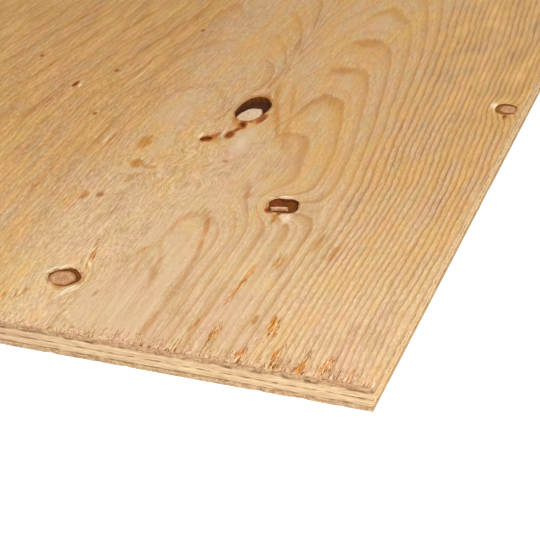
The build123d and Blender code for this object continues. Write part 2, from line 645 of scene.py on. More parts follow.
@dataclass(frozen=True)
class FaceRings:
    """Where the growth rings surface on the face, in millimetres from the near corner.

    Across the sheet, each section counts the rings at one stretch of its length: a trough under the
    arches, a ridge over the large knot that parts them, and straight grain on both sides. Along the
    sheet, each taper adds the rings that the log's taper brings, one for each trough. Across the sheet
    from the fading curve, the lines of the arches are faint. The peel comes round again after the log's
    girth, with its knots moved along by the stagger. A knot within fold_reach of where it comes round
    bends the wood on both sides.
    """

    girth: float = 640.0
    stagger: float = 310.0
    fold_reach: float = 40.0
    knots_section: Curve = Curve((
        (0, 22.2), (48, 7.6), (52, 6.4), (56, 5.4), (60, 4.4), (65, 3.3), (70, 2.4), (75, 1.75), (80, 1.2),
        (90, 0.34), (96, 0.1), (103, 0.0), (110, 0.07), (115, 0.25), (120, 0.85), (126, 1.35), (131, 1.8),
        (136, 2.4), (138.5, 2.8),
        (140.5, 1.7), (143, 1.1), (147, 0.6), (152, 0.25), (160, 0.0), (168, 0.45), (175, 1.0), (190, 2.6),
        (200, 3.8), (213, 5.0), (228, 6.2), (256, 8.6),
    ))
    middle_section: Curve = Curve((
        (0, 22.2), (48, 7.6), (52, 6.4), (56, 5.4), (60, 4.4), (65, 3.4), (70, 2.7), (78, 1.8), (87, 1.0),
        (96, 0.55), (106, 0.1), (120, -0.2), (135, 0.1), (150, 0.3), (165, 0.6), (180, 1.7), (190, 2.7),
        (200, 3.8), (213, 5.0), (228, 6.2), (256, 8.6),
    ))
    near_section: Curve = Curve((
        (0, 22.2), (48, 7.6), (52, 6.4), (56, 5.4), (60, 4.4), (65, 3.4), (71, 2.4), (82, 1.4), (92, 0.4),
        (98.7, -0.6), (103, -1.6), (110.6, -2.6), (124, -3.6), (134, -4.4), (142, -4.8), (152, -4.8),
        (162, -4.0), (170, -2.6), (180, -0.2), (190, 2.2), (200, 3.8), (213, 5.0), (228, 6.2), (256, 8.6),
    ))
    rest_section: Curve = Curve((
        (256, 0.0), (290, 2.6), (330, 6.0), (360, 6.6), (400, 4.6), (440, 2.6), (475, 4.0), (505, 7.5),
        (540, 16.0), (575, 23.5), (605, 22.5), (640, 14.7),
    ))
    near_taper: Curve = Curve((
        (0, -0.8), (170, -0.8), (200, -0.6), (230, 0.0), (276, 1.0), (317, 2.0), (363, 3.0), (410, 4.0),
        (470, 5.0), (640, 6.6), (800, 5.0), (1050, 1.0), (1250, -0.6), (1480, 2.4), (1800, 7.2),
        (2050, 6.0), (2438, 1.0),
    ))
    far_taper: Curve = Curve((
        (0, -0.8), (170, -0.8), (205, -1.0), (223, -0.9), (243, 0.0), (263, 1.0), (298, 2.1), (317, 3.0),
        (350, 4.0), (400, 5.2), (520, 6.8), (700, 5.0), (980, 0.5), (1200, 1.2), (1500, 5.0), (1700, 6.0),
        (2100, 1.5), (2438, -1.0),
    ))
    fading: Curve = Curve((
        (0, 139.0), (80, 138.0), (105, 129.0), (125, 122.0), (145, 113.0), (225, 116.0), (245, 146.0),
        (262, 152.0), (310, 154.0), (450, 156.0), (2438, 156.1),
    ))

    def count(self, board: Board, along: Wire, across: Wire) -> Wire:
        """Counts the rings of the arches and the straight grain, before the knots bend them.

        Args:
            board: the board to draw on.
            along: the place along the sheet.
            across: the place across it, within the log's girth.

        Returns:
            The ring count.
        """
        knots_part = self.knots_section.draw(board, across)
        middle_part = self.middle_section.draw(board, across)
        near_part = self.near_section.draw(board, across)
        rest_part = self.rest_section.draw(board, across)
        upper = board.step(along, 185.0, 250.0)
        leaning = along + board.maths("SMOOTH_MAX", across - 121.0, 0.0, 8.0) * 1.9
        lower = board.step(leaning, 95.0, 175.0, 1.0, 0.0)
        section = middle_part + (knots_part - middle_part) * upper + (near_part - middle_part) * lower
        near_rise = self.near_taper.draw(board, along)
        far_rise = self.far_taper.draw(board, along)
        second = board.step(across, 128.0, 144.0)
        beyond = board.step(across, 176.0, 204.0) * 0.6
        taper = near_rise + (far_rise - near_rise) * second
        return section + rest_part + taper - taper * beyond

    def bend(self, board: Board, knot: Knot, x: Wire, y: Wire, turn: Wire) -> tuple[Wire, Wire]:
        """Says how one knot bends the wood round it.

        Args:
            board: the board to draw on.
            knot: the knot.
            x: the place along the sheet.
            y: the place across it.
            turn: how many times the peel has come round.

        Returns:
            The rings that it adds, and how far its fibres are parted across the sheet.
        """
        again = turn
        if min(knot.across, self.girth - knot.across) < self.fold_reach:
            again = board.maths("ROUND", (y - knot.across) * (1.0 / self.girth))
        side = y - again * self.girth - knot.across
        gap = board.join(x - again * self.stagger - knot.along, side, 0.0)
        near_by = board.vector("MULTIPLY", gap, (1.15 / knot.length, 0.95 / knot.width, 0.0))
        squared = board.vector("DOT_PRODUCT", near_by, near_by)
        flow = board.vector("MULTIPLY", gap, (1.6 / knot.length, 2.0 / knot.width, 0.0))
        reach = board.vector("DOT_PRODUCT", flow, flow) + 0.5
        return board.maths("EXPONENT", squared * -1.0) * knot.push, side / reach

    def build(self, knots: tuple[Knot, ...]) -> bpy.types.NodeTree:
        """Builds the group that gives the ring count, and the fibres' own place across the sheet.

        Args:
            knots: the knots that bend the rings.

        Returns:
            The node group. Rings is the ring count, Fibre the place along the fibres, and Folded the
            place in the log's girth. Straight, Quiet and Side say which stretch of the face it is:
            the straight grain at the near edge, the calm wood round the arches, and the grain beyond
            them. Clear is how plain the late wood's lines are.
        """
        board, given = new_group(
            "growth_rings",
            {"Place": VECTOR},
            {
                "Rings": FLOAT, "Fibre": VECTOR, "Folded": VECTOR,
                "Straight": FLOAT, "Quiet": FLOAT, "Side": FLOAT, "Clear": FLOAT,
            },
        )
        place = given["Place"]
        x, y, z = board.split(place)
        turn = board.maths("FLOOR", y / self.girth)
        v = y - turn * self.girth
        broad = board.noise(board.stretch(place, 130.0, 70.0, 400.0, 3.7), 1.0)
        fine = board.noise(board.stretch(place, 34.0, 14.0, 100.0, 9.1), 2.0)
        fray = board.noise(board.stretch(place, 14.0, 1.5, 3.0, 17.3), 1.0)
        along = x + board.noise(board.stretch(place, 90.0, 40.0, 400.0, 21.3), 2.0) * 4.0 + fray * 2.6
        away = board.step(x, 380.0, 900.0)
        across = v + broad * (away * 8.0 + 2.2) + fine * 1.0
        rings = self.count(board, along, across) + fine * 0.10 + turn * 0.37
        fibre_across = v
        for knot in knots:
            push, parting = self.bend(board, knot, x, y, turn)
            rings = rings + push
            fibre_across = fibre_across - parting
        swirl_place = board.join((x - 168.0) / 46.0, (v - 148.0) / 32.0, 0.0)
        swirl = board.step(board.vector("LENGTH", swirl_place), 0.5, 1.0, 1.0, 0.0)
        rings = rings + swirl * board.noise(board.stretch(place, 12.0, 7.0, 90.0, 5.5), 2.0) * 0.5
        curl = swirl * board.noise(board.stretch(place, 16.0, 16.0, 90.0, 8.5), 1.0) * 3.0
        fibre = board.join(x, fibre_across + curl + broad * 2.0 + turn * self.girth, z)
        straight = board.step(across, 52.0, 78.0, 1.0, 0.0) + board.step(across, 510.0, 560.0)
        side = board.step(across, 172.0, 205.0) - board.step(across, 510.0, 560.0)
        quiet = (1.0 - straight - side) * (1.0 - swirl)
        rings = rings + z * -0.38
        folded = board.join(x - turn * self.stagger, v, z)
        beyond_arch = across - self.fading.draw(board, x)
        clear = board.step(beyond_arch, -4.0, 6.0, 1.0, 0.14)
        left_leg = board.step(across, 112.0, 117.0) * board.step(across, 137.0, 133.0)
        clear = clear * (1.0 - left_leg * board.step(x, 240.0, 270.0) * 0.6)
        clear = board.maths("MAXIMUM", clear, side * 0.55)
        return end_group(
            board, Rings=rings - 0.12, Fibre=fibre, Folded=folded,
            Straight=straight, Quiet=quiet, Side=side, Clear=clear,
        )


def place_group(corner: Vector) -> bpy.types.NodeTree:
    """Builds the group that turns Object coordinates into millimetres from the near corner at the face.

    Args:
        corner: the sheet's near corner at the face, in metres.

    Returns:
        The node group.
    """
    board, given = new_group("sheet_place", {"Object": VECTOR}, {"Place": VECTOR})
    gap = board.vector("SUBTRACT", given["Object"], tuple(corner))
    return end_group(board, Place=board.vector("MULTIPLY", gap, (1 / MM, 1 / MM, 1 / MM)))


def oval_group() -> bpy.types.NodeTree:
    """Builds the group that says how far out of an oval a place is: 0 at its middle and 1 at its rim.

    Returns:
        The node group.
    """
    board, given = new_group(
        "oval", {"Place": VECTOR, "Centre": VECTOR, "Long": VECTOR, "Short": VECTOR}, {"Radius": FLOAT}
    )
    gap = board.vector("SUBTRACT", given["Place"], given["Centre"])
    along = board.vector("DOT_PRODUCT", gap, given["Long"])
    across = board.vector("DOT_PRODUCT", gap, given["Short"])
    return end_group(board, Radius=board.maths("SQRT", along * along + across * across))


def fibres_group() -> bpy.types.NodeTree:
    """Builds the group for fibres: soft streaks of one feature size, and finer flecks of another.

    Returns:
        The node group.
    """
    board, given = new_group(
        "fibres", {"Place": VECTOR, "Size": VECTOR, "Fine": VECTOR}, {"Streak": FLOAT, "Fleck": FLOAT}
    )
    streak = board.noise(board.vector("DIVIDE", given["Place"], given["Size"]), 2.0, 0.6)
    shifted = board.vector("ADD", given["Place"], (71.0, 37.0, 53.0))
    fleck = board.noise(board.vector("DIVIDE", shifted, given["Fine"]), 1.0, 0.55)
    return end_group(board, Streak=streak, Fleck=fleck)


def tint_group() -> bpy.types.NodeTree:
    """Builds the group that makes a wood lighter or darker with Tone, and greener or pinker with Hue.

    Both leave the colour about as it is at 0.5.

    Returns:
        The node group.
    """
    board, given = new_group("tint", {"Wood": COLOUR, "Tone": FLOAT, "Hue": FLOAT}, {"Tinted": COLOUR})
    light = board.mix(given["Tone"], (0.74, 0.64, 0.47, 1.0), (1.24, 1.34, 1.45, 1.0))
    hue = board.mix(given["Hue"], (1.05, 0.91, 1.10, 1.0), (0.95, 1.09, 0.90, 1.0))
    lit = board.mix(1.0, given["Wood"], light, "MULTIPLY")
    return end_group(board, Tinted=board.mix(1.0, lit, hue, "MULTIPLY"))


@dataclass(frozen=True)
class Groups:
    """The node groups that the finishes share."""

    place: bpy.types.NodeTree
    oval: bpy.types.NodeTree
    fibres: bpy.types.NodeTree
    tint: bpy.types.NodeTree
    glue: bpy.types.NodeTree
    wood: bpy.types.NodeTree
    knots: bpy.types.NodeTree


@dataclass(frozen=True)
class Surface:
    """A material's plain values: how rough and shiny it is, and how deep its relief, in millimetres."""

    roughness: float
    specular: float
    depth: float
    strength: float


class Coat(Board):
    """A board on a new material, with the place in millimetres that its finish starts from."""

    def __init__(self, name: str, groups: Groups) -> None:
        """Starts the material.

        Args:
            name: its name.
            groups: the shared node groups.
        """
        self.material = bpy.data.materials.new(name)
        self.material.use_nodes = True
        super().__init__(self.material.node_tree)
        coordinates = self.add("ShaderNodeTexCoord")
        self.place = self.group(groups.place, Object=Wire(self, coordinates.outputs["Object"]))["Place"]

    def finish(self, surface: Surface, colour: Wire, height: Wire) -> bpy.types.Material:
        """Joins a colour and a relief to the material's shader.

        Args:
            surface: the material's plain values.
            colour: its colour.
            height: its relief, 0 to about 1.

        Returns:
            The material.
        """
        shader = self.tree.nodes["Principled BSDF"]
        self.feed(shader.inputs["Base Color"], colour)
        shader.inputs["Roughness"].default_value = surface.roughness
        shader.inputs["Specular IOR Level"].default_value = surface.specular
        bump = self.add("ShaderNodeBump")
        self.feed(bump.inputs["Height"], height)
        self.feed(bump.inputs["Distance"], surface.depth * MM)
        self.feed(bump.inputs["Strength"], surface.strength)
        self.tree.links.new(bump.outputs[0], shader.inputs["Normal"])
        return self.material


@dataclass(frozen=True)
class VeneerWood:
    """The wood of a rotary-cut softwood veneer: pale early wood, lines of late wood, fibres, and painted
    light at the near end.
    """

    pale: Colour = srgb(226, 192, 147)
    warm: Colour = srgb(219, 171, 109)
    olive: Colour = srgb(182, 138, 78)
    orange: Colour = srgb(203, 142, 74)
    # The pale that the near end is drawn towards: painted light
    painted_light_pale: Colour = srgb(228, 199, 158)

    def build(self, rings_group: bpy.types.NodeTree, fibres: bpy.types.NodeTree) -> bpy.types.NodeTree:
        """Builds the group of the veneer's wood.

        Args:
            rings_group: the group that counts growth rings.
            fibres: the group for fibres.

        Returns:
            The node group. Wood is its colour, Tone and Hue what the tint group needs, Ragged and Hair
            the noise for outlines, Relief the height, Folded the place in the log's girth, and Fibre the
            place along the fibres.
        """
        board, given = new_group(
            "veneer_wood",
            {"Place": VECTOR},
            {
                "Wood": COLOUR, "Tone": FLOAT, "Hue": FLOAT, "Ragged": FLOAT, "Hair": FLOAT,
                "Relief": FLOAT, "Folded": VECTOR, "Fibre": VECTOR,
            },
        )
        place = given["Place"]
        x, y, _ = board.split(place)
        growth = board.group(rings_group, Place=place)
        growth["Calm"] = 1.0 - growth["Straight"] - growth["Side"]
        growth["Woolly"] = board.step(y, 130.0, 152.0) * board.step(x, 330.0, 220.0)
        texture = self.texture(board, place, growth["Fibre"], fibres)
        late, main, minor = self.lines(board, x, y, growth, texture)
        hair, patch = texture["hair"], texture["patch"]
        return end_group(
            board,
            Wood=self.colour(board, x, growth, texture, main, minor),
            Tone=self.tone(board, x, y, growth, texture, late),
            Hue=texture["flare"] * 0.2 + texture["shimmer"] * 0.05 + patch * 0.12 + 0.42,
            Ragged=texture["ragged"],
            Hair=hair,
            Relief=hair * 0.5 + texture["dash"] * 0.6 + late * 0.5,
            Folded=growth["Folded"],
            Fibre=growth["Fibre"],
        )

    def texture(
        self, board: Board, place: Wire, threads: Wire, fibres: bpy.types.NodeTree
    ) -> dict[str, Wire]:
        """Gives the noise that makes the wood uneven, from single hairs to broad patches.

        Args:
            board: the board to draw on.
            place: millimetres from the near corner.
            threads: the place along the fibres.
            fibres: the group for fibres.

        Returns:
            The noise by name. ragged and wobble roughen outlines, hair, dash, long, grit, curly, shimmer
            and band follow the fibres, and patch, cloud and flare don't.
        """
        near_by = board.group(fibres, Place=threads, Size=(22.0, 1.4, 3.0), Fine=(5.0, 0.9, 1.5))
        far_off = board.group(fibres, Place=threads, Size=(64.0, 1.7, 4.0), Fine=(2.0, 1.1, 1.5))
        return {
            "ragged": board.noise(board.stretch(place, 9.0, 4.0, 10.0, 14.0), 2.0),
            "wobble": board.noise(board.stretch(place, 5.0, 2.2, 4.0, 27.0), 1.0),
            "hair": near_by["Streak"],
            "dash": near_by["Fleck"],
            "long": far_off["Streak"],
            "grit": far_off["Fleck"],
            "patch": board.noise(board.stretch(place, 90.0, 30.0, 60.0, 2.2), 2.0),
            "cloud": board.noise(board.stretch(place, 20.0, 9.0, 12.0, 6.6), 1.0),
            "flare": board.noise(board.stretch(place, 30.0, 8.0, 14.0, 51.0), 1.0),
            "band": board.noise(board.stretch(threads, 130.0, 5.0, 30.0, 61.0), 2.0),
            "shimmer": board.noise(board.stretch(threads, 6.0, 2.0, 5.0, 43.0), 1.0),
            "curly": board.noise(board.stretch(threads, 10.0, 3.0, 6.0, 71.0), 1.0),
        }

    def lines(
        self, board: Board, x: Wire, y: Wire, growth: dict[str, Wire], texture: dict[str, Wire]
    ) -> tuple[Wire, Wire, Wire]:
        """Draws the lines of late wood, and the finer lines between them.

        Args:
            board: the board to draw on.
            x: the place along the sheet.
            y: the place across it.
            growth: the growth rings, and which stretch of the face it is.
            texture: the noise by name.

        Returns:
            Where the late wood is, how plain its lines are, and how plain the finer lines are.
        """
        rings, straight, side = growth["Rings"], growth["Straight"], growth["Side"]
        curved = 1.0 - straight
        ragged = texture["ragged"]
        uneven = ragged * (side * 0.08 + 0.02) + texture["wobble"] * (straight * 0.09)
        part = board.maths("FRACT", rings + uneven)
        late = board.step(part, straight * -0.1 + 0.46, 0.88) * board.step(part, 0.9, 1.0, 1.0, 0.0)
        patchy = board.noise(board.join(board.maths("FLOOR", rings) * 0.73, x * 0.012, 1.5), 1.0)
        broken = texture["hair"] * 0.42 + texture["dash"] * 0.34 + texture["long"] * (side * 0.5) + 0.8
        fresh = 1.0 - straight * (board.step(x, 110.0, 30.0) * 0.4 + board.step(x, 180.0, 330.0) * 0.25)
        fresh = fresh - curved * board.step(x, 200.0, 90.0) * board.step(y, 104.0, 120.0) * 0.4
        strength = (patchy * 0.34 + 0.84 - growth["Calm"] * 0.2) * broken * growth["Clear"] * fresh
        near_end = board.step(x, 190.0, 110.0)
        close_by = near_end * board.step(y, 116.0, 104.0)
        further_in = near_end * board.step(y, 104.0, 116.0)
        strength = strength * (1.0 - further_in * 0.5) * (1.0 + close_by * curved * 0.7)
        minor_part = board.maths("FRACT", rings * 3.0 + ragged * 0.14 + 0.2)
        minor = board.step(minor_part, 0.25, 0.8) * board.step(minor_part, 0.84, 1.0, 1.0, 0.0)
        minor_clear = curved * (growth["Clear"] * 0.6 + 0.4)
        minor_strength = (close_by * 0.24 + side * 0.24 + 0.28) * broken * minor_clear
        return late, late * strength, minor * minor_strength

    def colour(
        self,
        board: Board,
        x: Wire,
        growth: dict[str, Wire],
        texture: dict[str, Wire],
        main: Wire,
        minor: Wire,
    ) -> Wire:
        """Colours the wood and its lines, before the tint, with painted light that makes the near end
        paler.

        Args:
            board: the board to draw on.
            x: the place along the sheet.
            growth: the growth rings, and which stretch of the face it is.
            texture: the noise by name.
            main: how plain the lines of late wood are.
            minor: how plain the finer lines are.

        Returns:
            The colour.
        """
        calm, flare, shimmer = growth["Calm"], texture["flare"], texture["shimmer"]
        line = board.mix(board.step(flare + shimmer * 0.3 + calm * 0.4, -0.8, 0.8), self.olive, self.orange)
        warmth = texture["patch"] + growth["Side"] * 0.5 - calm * 0.4 + texture["cloud"] * 0.9
        # Less warm towards the near end: part of the painted light there
        warmth = warmth + texture["band"] * 0.8 + board.step(x, 40.0, 280.0) * 0.9
        wood = board.mix(board.step(warmth - 0.45, -1.1, 1.1), self.pale, self.warm)
        wood = board.mix(minor, wood, line)
        wood = board.mix(main, wood, line)
        # Painted light: paler towards the near end, less so where the grain is straight or woolly
        painted_light_share = board.step(x, 210.0, 60.0) * (0.34 - growth["Straight"] * 0.2 - growth["Woolly"] * 0.32)
        return board.mix(painted_light_share, wood, self.painted_light_pale)

    def tone(
        self, board: Board, x: Wire, y: Wire, growth: dict[str, Wire], texture: dict[str, Wire], late: Wire
    ) -> Wire:
        """Says how light the wood is: its fibres, its patches, painted light that lightens the near end,
        and painted shade on the late wood's ridges in the straight grain.

        Args:
            board: the board to draw on.
            x: the place along the sheet.
            y: the place across it.
            growth: the growth rings, and which stretch of the face it is.
            texture: the noise by name.
            late: where the late wood is.

        Returns:
            The tone, about 0.5.
        """
        straight, woolly = growth["Straight"], growth["Woolly"]
        cloud, patch, band = texture["cloud"], texture["patch"], texture["band"]
        worn = board.step(x, 170.0, 380.0) * straight
        tone = texture["long"] * (growth["Side"] * 0.14 + 0.08)
        tone = tone + texture["hair"] * (woolly * 0.08 - worn * 0.07 + 0.17)
        tone = tone + texture["dash"] * (straight * 0.06 - worn * 0.12 + woolly * 0.16 + 0.16)
        tone = tone + texture["grit"] * (woolly * 0.06 - worn * 0.06 + 0.14)
        tone = tone + texture["curly"] * (growth["Calm"] - growth["Quiet"]) * 0.24
        tone = tone + (cloud + patch + band) * (woolly * 0.03 + 0.14) + (cloud + band) * worn * 0.16
        # Straight grain: late wood darker, in colour and painted shade of its ridges. Near end: painted
        # light
        tone = tone + straight * (0.06 - late * 0.22) + board.step(x, 180.0, 30.0) * 0.07 + 0.5
        # A little darker from 270 to 350 mm along and 120 to 160 mm across
        return tone - board.step(x, 270.0, 350.0) * board.step(y, 120.0, 160.0) * 0.05


@dataclass(frozen=True)
class KnotPaint:
    """How the veneers' sound knots look: bark round a heart with rings of its own."""

    bark: Colour = srgb(112, 62, 24)
    heart: Colour = srgb(206, 148, 102)
    ring: Colour = srgb(186, 122, 58)
    halo: Colour = srgb(228, 202, 164)
    rust: Colour = srgb(172, 102, 44)

    def build(self, oval: bpy.types.NodeTree) -> bpy.types.NodeTree:
        """Builds the group that draws the knots over the wood, apart from those that are pieces.

        Args:
            oval: the group for oval places.

        Returns:
            The node group.
        """
        board, given = new_group(
            "knots", {"Wood": COLOUR, "Place": VECTOR, "Folded": VECTOR, "Ragged": FLOAT}, {"Wood": COLOUR}
        )
        ragged = given["Ragged"]
        radius = ragged * 0.0 + 9.0
        for knot in SEEN_KNOTS + FAR_KNOTS:
            radius = board.maths("MINIMUM", radius, knot.radius(board, oval, given["Folded"]))
        radius = radius + ragged * 0.07
        x, y, _ = board.split(given["Place"])
        drawn = 1.0 - board.step(x, 410.0, 400.0) * board.step(y, 310.0, 300.0)
        wood = board.mix(board.step(radius, 1.6, 1.0) * drawn * 0.3, given["Wood"], self.halo)
        patchy = board.noise(board.stretch(given["Folded"], 5.0, 5.0, 9.0, 12.0), 1.0)
        rusty = board.step(patchy, -0.7, 0.4) * 0.6 + 0.2
        wood = board.mix(board.step(radius, 1.24, 1.04) * rusty, wood, self.rust)
        wood = board.mix(board.step(radius, 1.10, 0.97) * drawn, wood, self.bark)
        rings = board.maths("PINGPONG", radius * 4.0, 0.5) * 0.5
        heart = board.mix(rings, self.heart, self.ring)
        return end_group(board, Wood=board.mix(board.step(radius, 0.80, 0.66) * drawn, wood, heart))


@dataclass(frozen=True)
class VeneerFinish:
    """The look of an outer veneer. The face has its own marks, and the back is another stretch of the log.

    The back's wood is read from the far end, and from further on in the peel.
    """

    name: str
    marked: bool
    far_end: float = 2438.4
    further_on: float = 233.0
    lip: Colour = srgb(252, 228, 190)
    halo: Colour = srgb(228, 202, 164)
    stain: Colour = srgb(196, 130, 54)
    rust: Colour = srgb(180, 98, 34)
    crumb: Colour = srgb(100, 44, 8)
    chewed: Colour = srgb(224, 184, 146)
    # Tufts: pale fibres with painted highlights, orange fibres, and dark painted shade in the gaps between
    # them
    sliver: Colour = srgb(250, 222, 176)
    amber: Colour = srgb(224, 150, 66)
    torn: Colour = srgb(162, 92, 34)
    surface: Surface = Surface(0.75, 0.1, 0.15, 0.4)

    def build(self, groups: Groups) -> bpy.types.Material:
        """Builds the material.

        Args:
            groups: the shared node groups.

        Returns:
            The material.
        """
        board = Coat(self.name, groups)
        place = board.place
        if not self.marked:
            x, y, z = board.split(place)
            place = board.join(self.far_end - x, y + self.further_on, z)
        veneer = board.group(groups.wood, Place=place)
        colour, tone = veneer["Wood"], veneer["Tone"]
        if self.marked:
            colour, tone = self.mark(board, groups.oval, place, veneer, colour, tone)
            colour, tone = self.chew(board, groups.oval, place, veneer, colour, tone)
        colour = board.group(groups.tint, Wood=colour, Tone=tone, Hue=veneer["Hue"])["Tinted"]
        colour = board.group(
            groups.knots, Wood=colour, Place=place, Folded=veneer["Folded"], Ragged=veneer["Ragged"]
        )["Wood"]
        return board.finish(self.surface, colour, veneer["Relief"])

    def cover(
        self,
        board: Board,
        oval: bpy.types.NodeTree,
        place: Wire,
        rough: Wire,
        marks: tuple[Mark, ...],
        outer: float = 1.15,
        full: float = 0.6,
    ) -> Wire:
        """Says how far a place is covered by marks.

        Args:
            board: the material's board.
            oval: the group for oval places.
            place: millimetres from the near corner.
            rough: noise that roughens the outlines.
            marks: the marks.
            outer: how far out of its middle a mark ends, as a share of its size.
            full: how far out of its middle a mark is at its strongest, as a share of its size.

        Returns:
            0 outside them, up to 1 inside.
        """
        cover = rough * 0.0
        for mark in marks:
            mask = board.step(mark.radius(board, oval, place) + rough, outer, full, 0.0, mark.strength)
            cover = board.maths("MAXIMUM", cover, mask)
        return cover

    def arches(self, board: Board, oval: bpy.types.NodeTree, place: Wire, rough: Wire) -> Wire:
        """Says how far a place is on one of the faint arches, each the far half of an oval's outline.

        Args:
            board: the material's board.
            oval: the group for oval places.
            place: millimetres from the near corner.
            rough: noise that roughens the outlines.

        Returns:
            0 off them, up to 1 on one.
        """
        along = board.split(place)[0]
        cover = rough * 0.0
        for mark in ARCH_MARKS:
            off_line = abs(mark.radius(board, oval, place) + rough - 1.0)
            line = board.step(off_line, 0.14, 0.0, 0.0, mark.strength)
            half = board.step(along, mark.along - mark.length * 0.3, mark.along + mark.length * 0.1)
            cover = board.maths("MAXIMUM", cover, line * half)
        return cover

    def mark(
        self,
        board: Board,
        oval: bpy.types.NodeTree,
        place: Wire,
        veneer: dict[str, Wire],
        colour: Wire,
        tone: Wire,
    ) -> tuple[Wire, Wire]:
        """Lays the pale patches, the stains and the bark over the wood.

        Args:
            board: the material's board.
            oval: the group for oval places.
            place: millimetres from the near corner.
            veneer: what the wood's group gives.
            colour: the wood.
            tone: how light it is.

        Returns:
            The wood with its marks, and its tone, which is more even in the pale patches.
        """
        rough = veneer["Ragged"] * 0.16 + veneer["Hair"] * 0.16
        streaky = veneer["Ragged"] * 0.3 + veneer["Hair"] * 0.5
        even = self.cover(board, oval, place, rough, PALE_MARKS, 1.15, 0.5)
        tone = tone - (tone - 0.5) * board.maths("MINIMUM", even * 1.6, 0.7)
        colour = board.mix(self.arches(board, oval, place, rough * 0.5) * 0.7, colour, self.stain)
        streaks = self.cover(board, oval, place, streaky, STREAK_MARKS, 1.3, 0.0)
        colour = board.mix(streaks * 0.8, colour, self.stain)
        for marks, paint, most, outer, full in (
            (PALE_MARKS, self.halo, 0.7, 1.15, 0.4),
            (LIP_MARKS, self.lip, 0.9, 1.15, 0.5),
            (STAIN_MARKS, self.stain, 0.9, 1.15, 0.5),
            (BARK_MARKS, self.rust, 1.8, 1.6, 1.0),
            (BARK_MARKS, self.crumb, 1.0, 1.1, 0.5),
        ):
            cover = self.cover(board, oval, place, rough, marks, outer, full)
            colour = board.mix(cover * most, colour, paint)
        return colour, tone

    def chew(
        self,
        board: Board,
        oval: bpy.types.NodeTree,
        place: Wire,
        veneer: dict[str, Wire],
        colour: Wire,
        tone: Wire,
    ) -> tuple[Wire, Wire]:
        """Roughens the near end, where the saw came out, and draws the tufts of fibres that it tore up
        there, with painted shade in their gaps and painted highlights on the pale ones.

        Args:
            board: the material's board.
            oval: the group for oval places.
            place: millimetres from the near corner.
            veneer: what the wood's group gives.
            colour: the wood.
            tone: how light it is.

        Returns:
            The wood and its tone with the torn places.
        """
        ragged = veneer["Ragged"]
        shred = board.noise(board.stretch(veneer["Fibre"], 8.0, 0.95, 2.0, 31.0), 1.0, 0.5)
        speck = board.noise(board.stretch(place, 2.2, 1.2, 2.0, 35.0), 1.0, 0.6)
        near_end = board.step(board.split(place)[0] + ragged * 2.0, 8.5, 0.5)
        colour = board.mix(near_end * 0.65, colour, self.chewed)
        tone = tone + near_end * (shred * 0.3 + speck * 0.5 - 0.03)
        tufts = self.cover(board, oval, place, ragged * 0.2 + shred * 0.16, TUFT_MARKS)
        # The tufts: orange fibres, painted shade in their gaps, and pale fibres with painted highlights
        torn = board.mix(board.step(shred, -0.15, -0.5), self.amber, self.torn)
        torn = board.mix(board.step(shred, 0.2, 0.6), torn, self.sliver)
        return board.mix(tufts * 1.1, colour, torn), tone


def glue_group() -> bpy.types.NodeTree:
    """Builds the group that says how near a place on a sawn edge is to one of the glue lines.

    Returns:
        The node group.
    """
    board, given = new_group("glue_lines", {"Place": VECTOR}, {"Line": FLOAT})
    place = given["Place"]
    height = board.split(place)[2] + board.noise(board.stretch(place, 30.0, 30.0, 400.0, 6.0), 2.0) * 0.16
    broken = board.noise(board.stretch(place, 9.0, 9.0, 3.0, 3.0), 2.0, 0.65)
    dashed = board.step(board.noise(board.stretch(place, 7.0, 7.0, 8.0, 19.0), 1.0), -0.45, 0.35)
    line = broken * 0.0
    for depth, half, least, most in ((3.3, 0.75, 0.16, 0.6), (6.7, 0.55, 0.1, 0.7), (10.0, 0.6, 0.16, 0.5)):
        near_by = board.step(abs(height + depth) + broken * -0.2, half, half * 0.2)
        line = board.maths("MAXIMUM", line, near_by * (dashed * most + broken * 0.2 + least))
    return end_group(board, Line=line)


@dataclass(frozen=True)
class EdgeFinish:
    """The look of one ply's sawn edge.

    It has streaks where the saw ran along the fibres, and flecks where it cut across them. uneven is how
    much its shade varies.
    """

    name: str
    wood: Colour
    dark: Colour
    along_fibres: bool
    uneven: float = 1.0
    glue: Colour = srgb(122, 84, 46)
    surface: Surface = Surface(0.8, 0.2, 0.2, 0.5)

    def build(self, groups: Groups) -> bpy.types.Material:
        """Builds the material.

        Args:
            groups: the shared node groups.

        Returns:
            The material.
        """
        board = Coat(self.name, groups)
        place = board.place
        run, lift = (16.0, 0.55) if self.along_fibres else (2.6, 0.8)
        fibres = board.group(
            groups.fibres, Place=place, Size=(run, run, lift), Fine=(run * 0.3, run * 0.3, lift * 0.7)
        )
        streak, fleck = fibres["Streak"], fibres["Fleck"]
        patch = board.noise(board.stretch(place, run * 3.0, run * 3.0, 1.2, 8.0), 1.0)
        shade = (streak * 0.3 + patch * 0.18 + fleck * 0.26) * self.uneven
        colour = board.mix(board.step(shade + 0.5, 0.0, 0.9), self.dark, self.wood)
        line = board.group(groups.glue, Place=place)["Line"]
        colour = board.mix(line, colour, self.glue)
        tinted = board.group(groups.tint, Wood=colour, Tone=shade * 0.35 + 0.5, Hue=patch * 0.25 + 0.5)
        return board.finish(self.surface, tinted["Tinted"], streak + fleck * 0.6 - line)


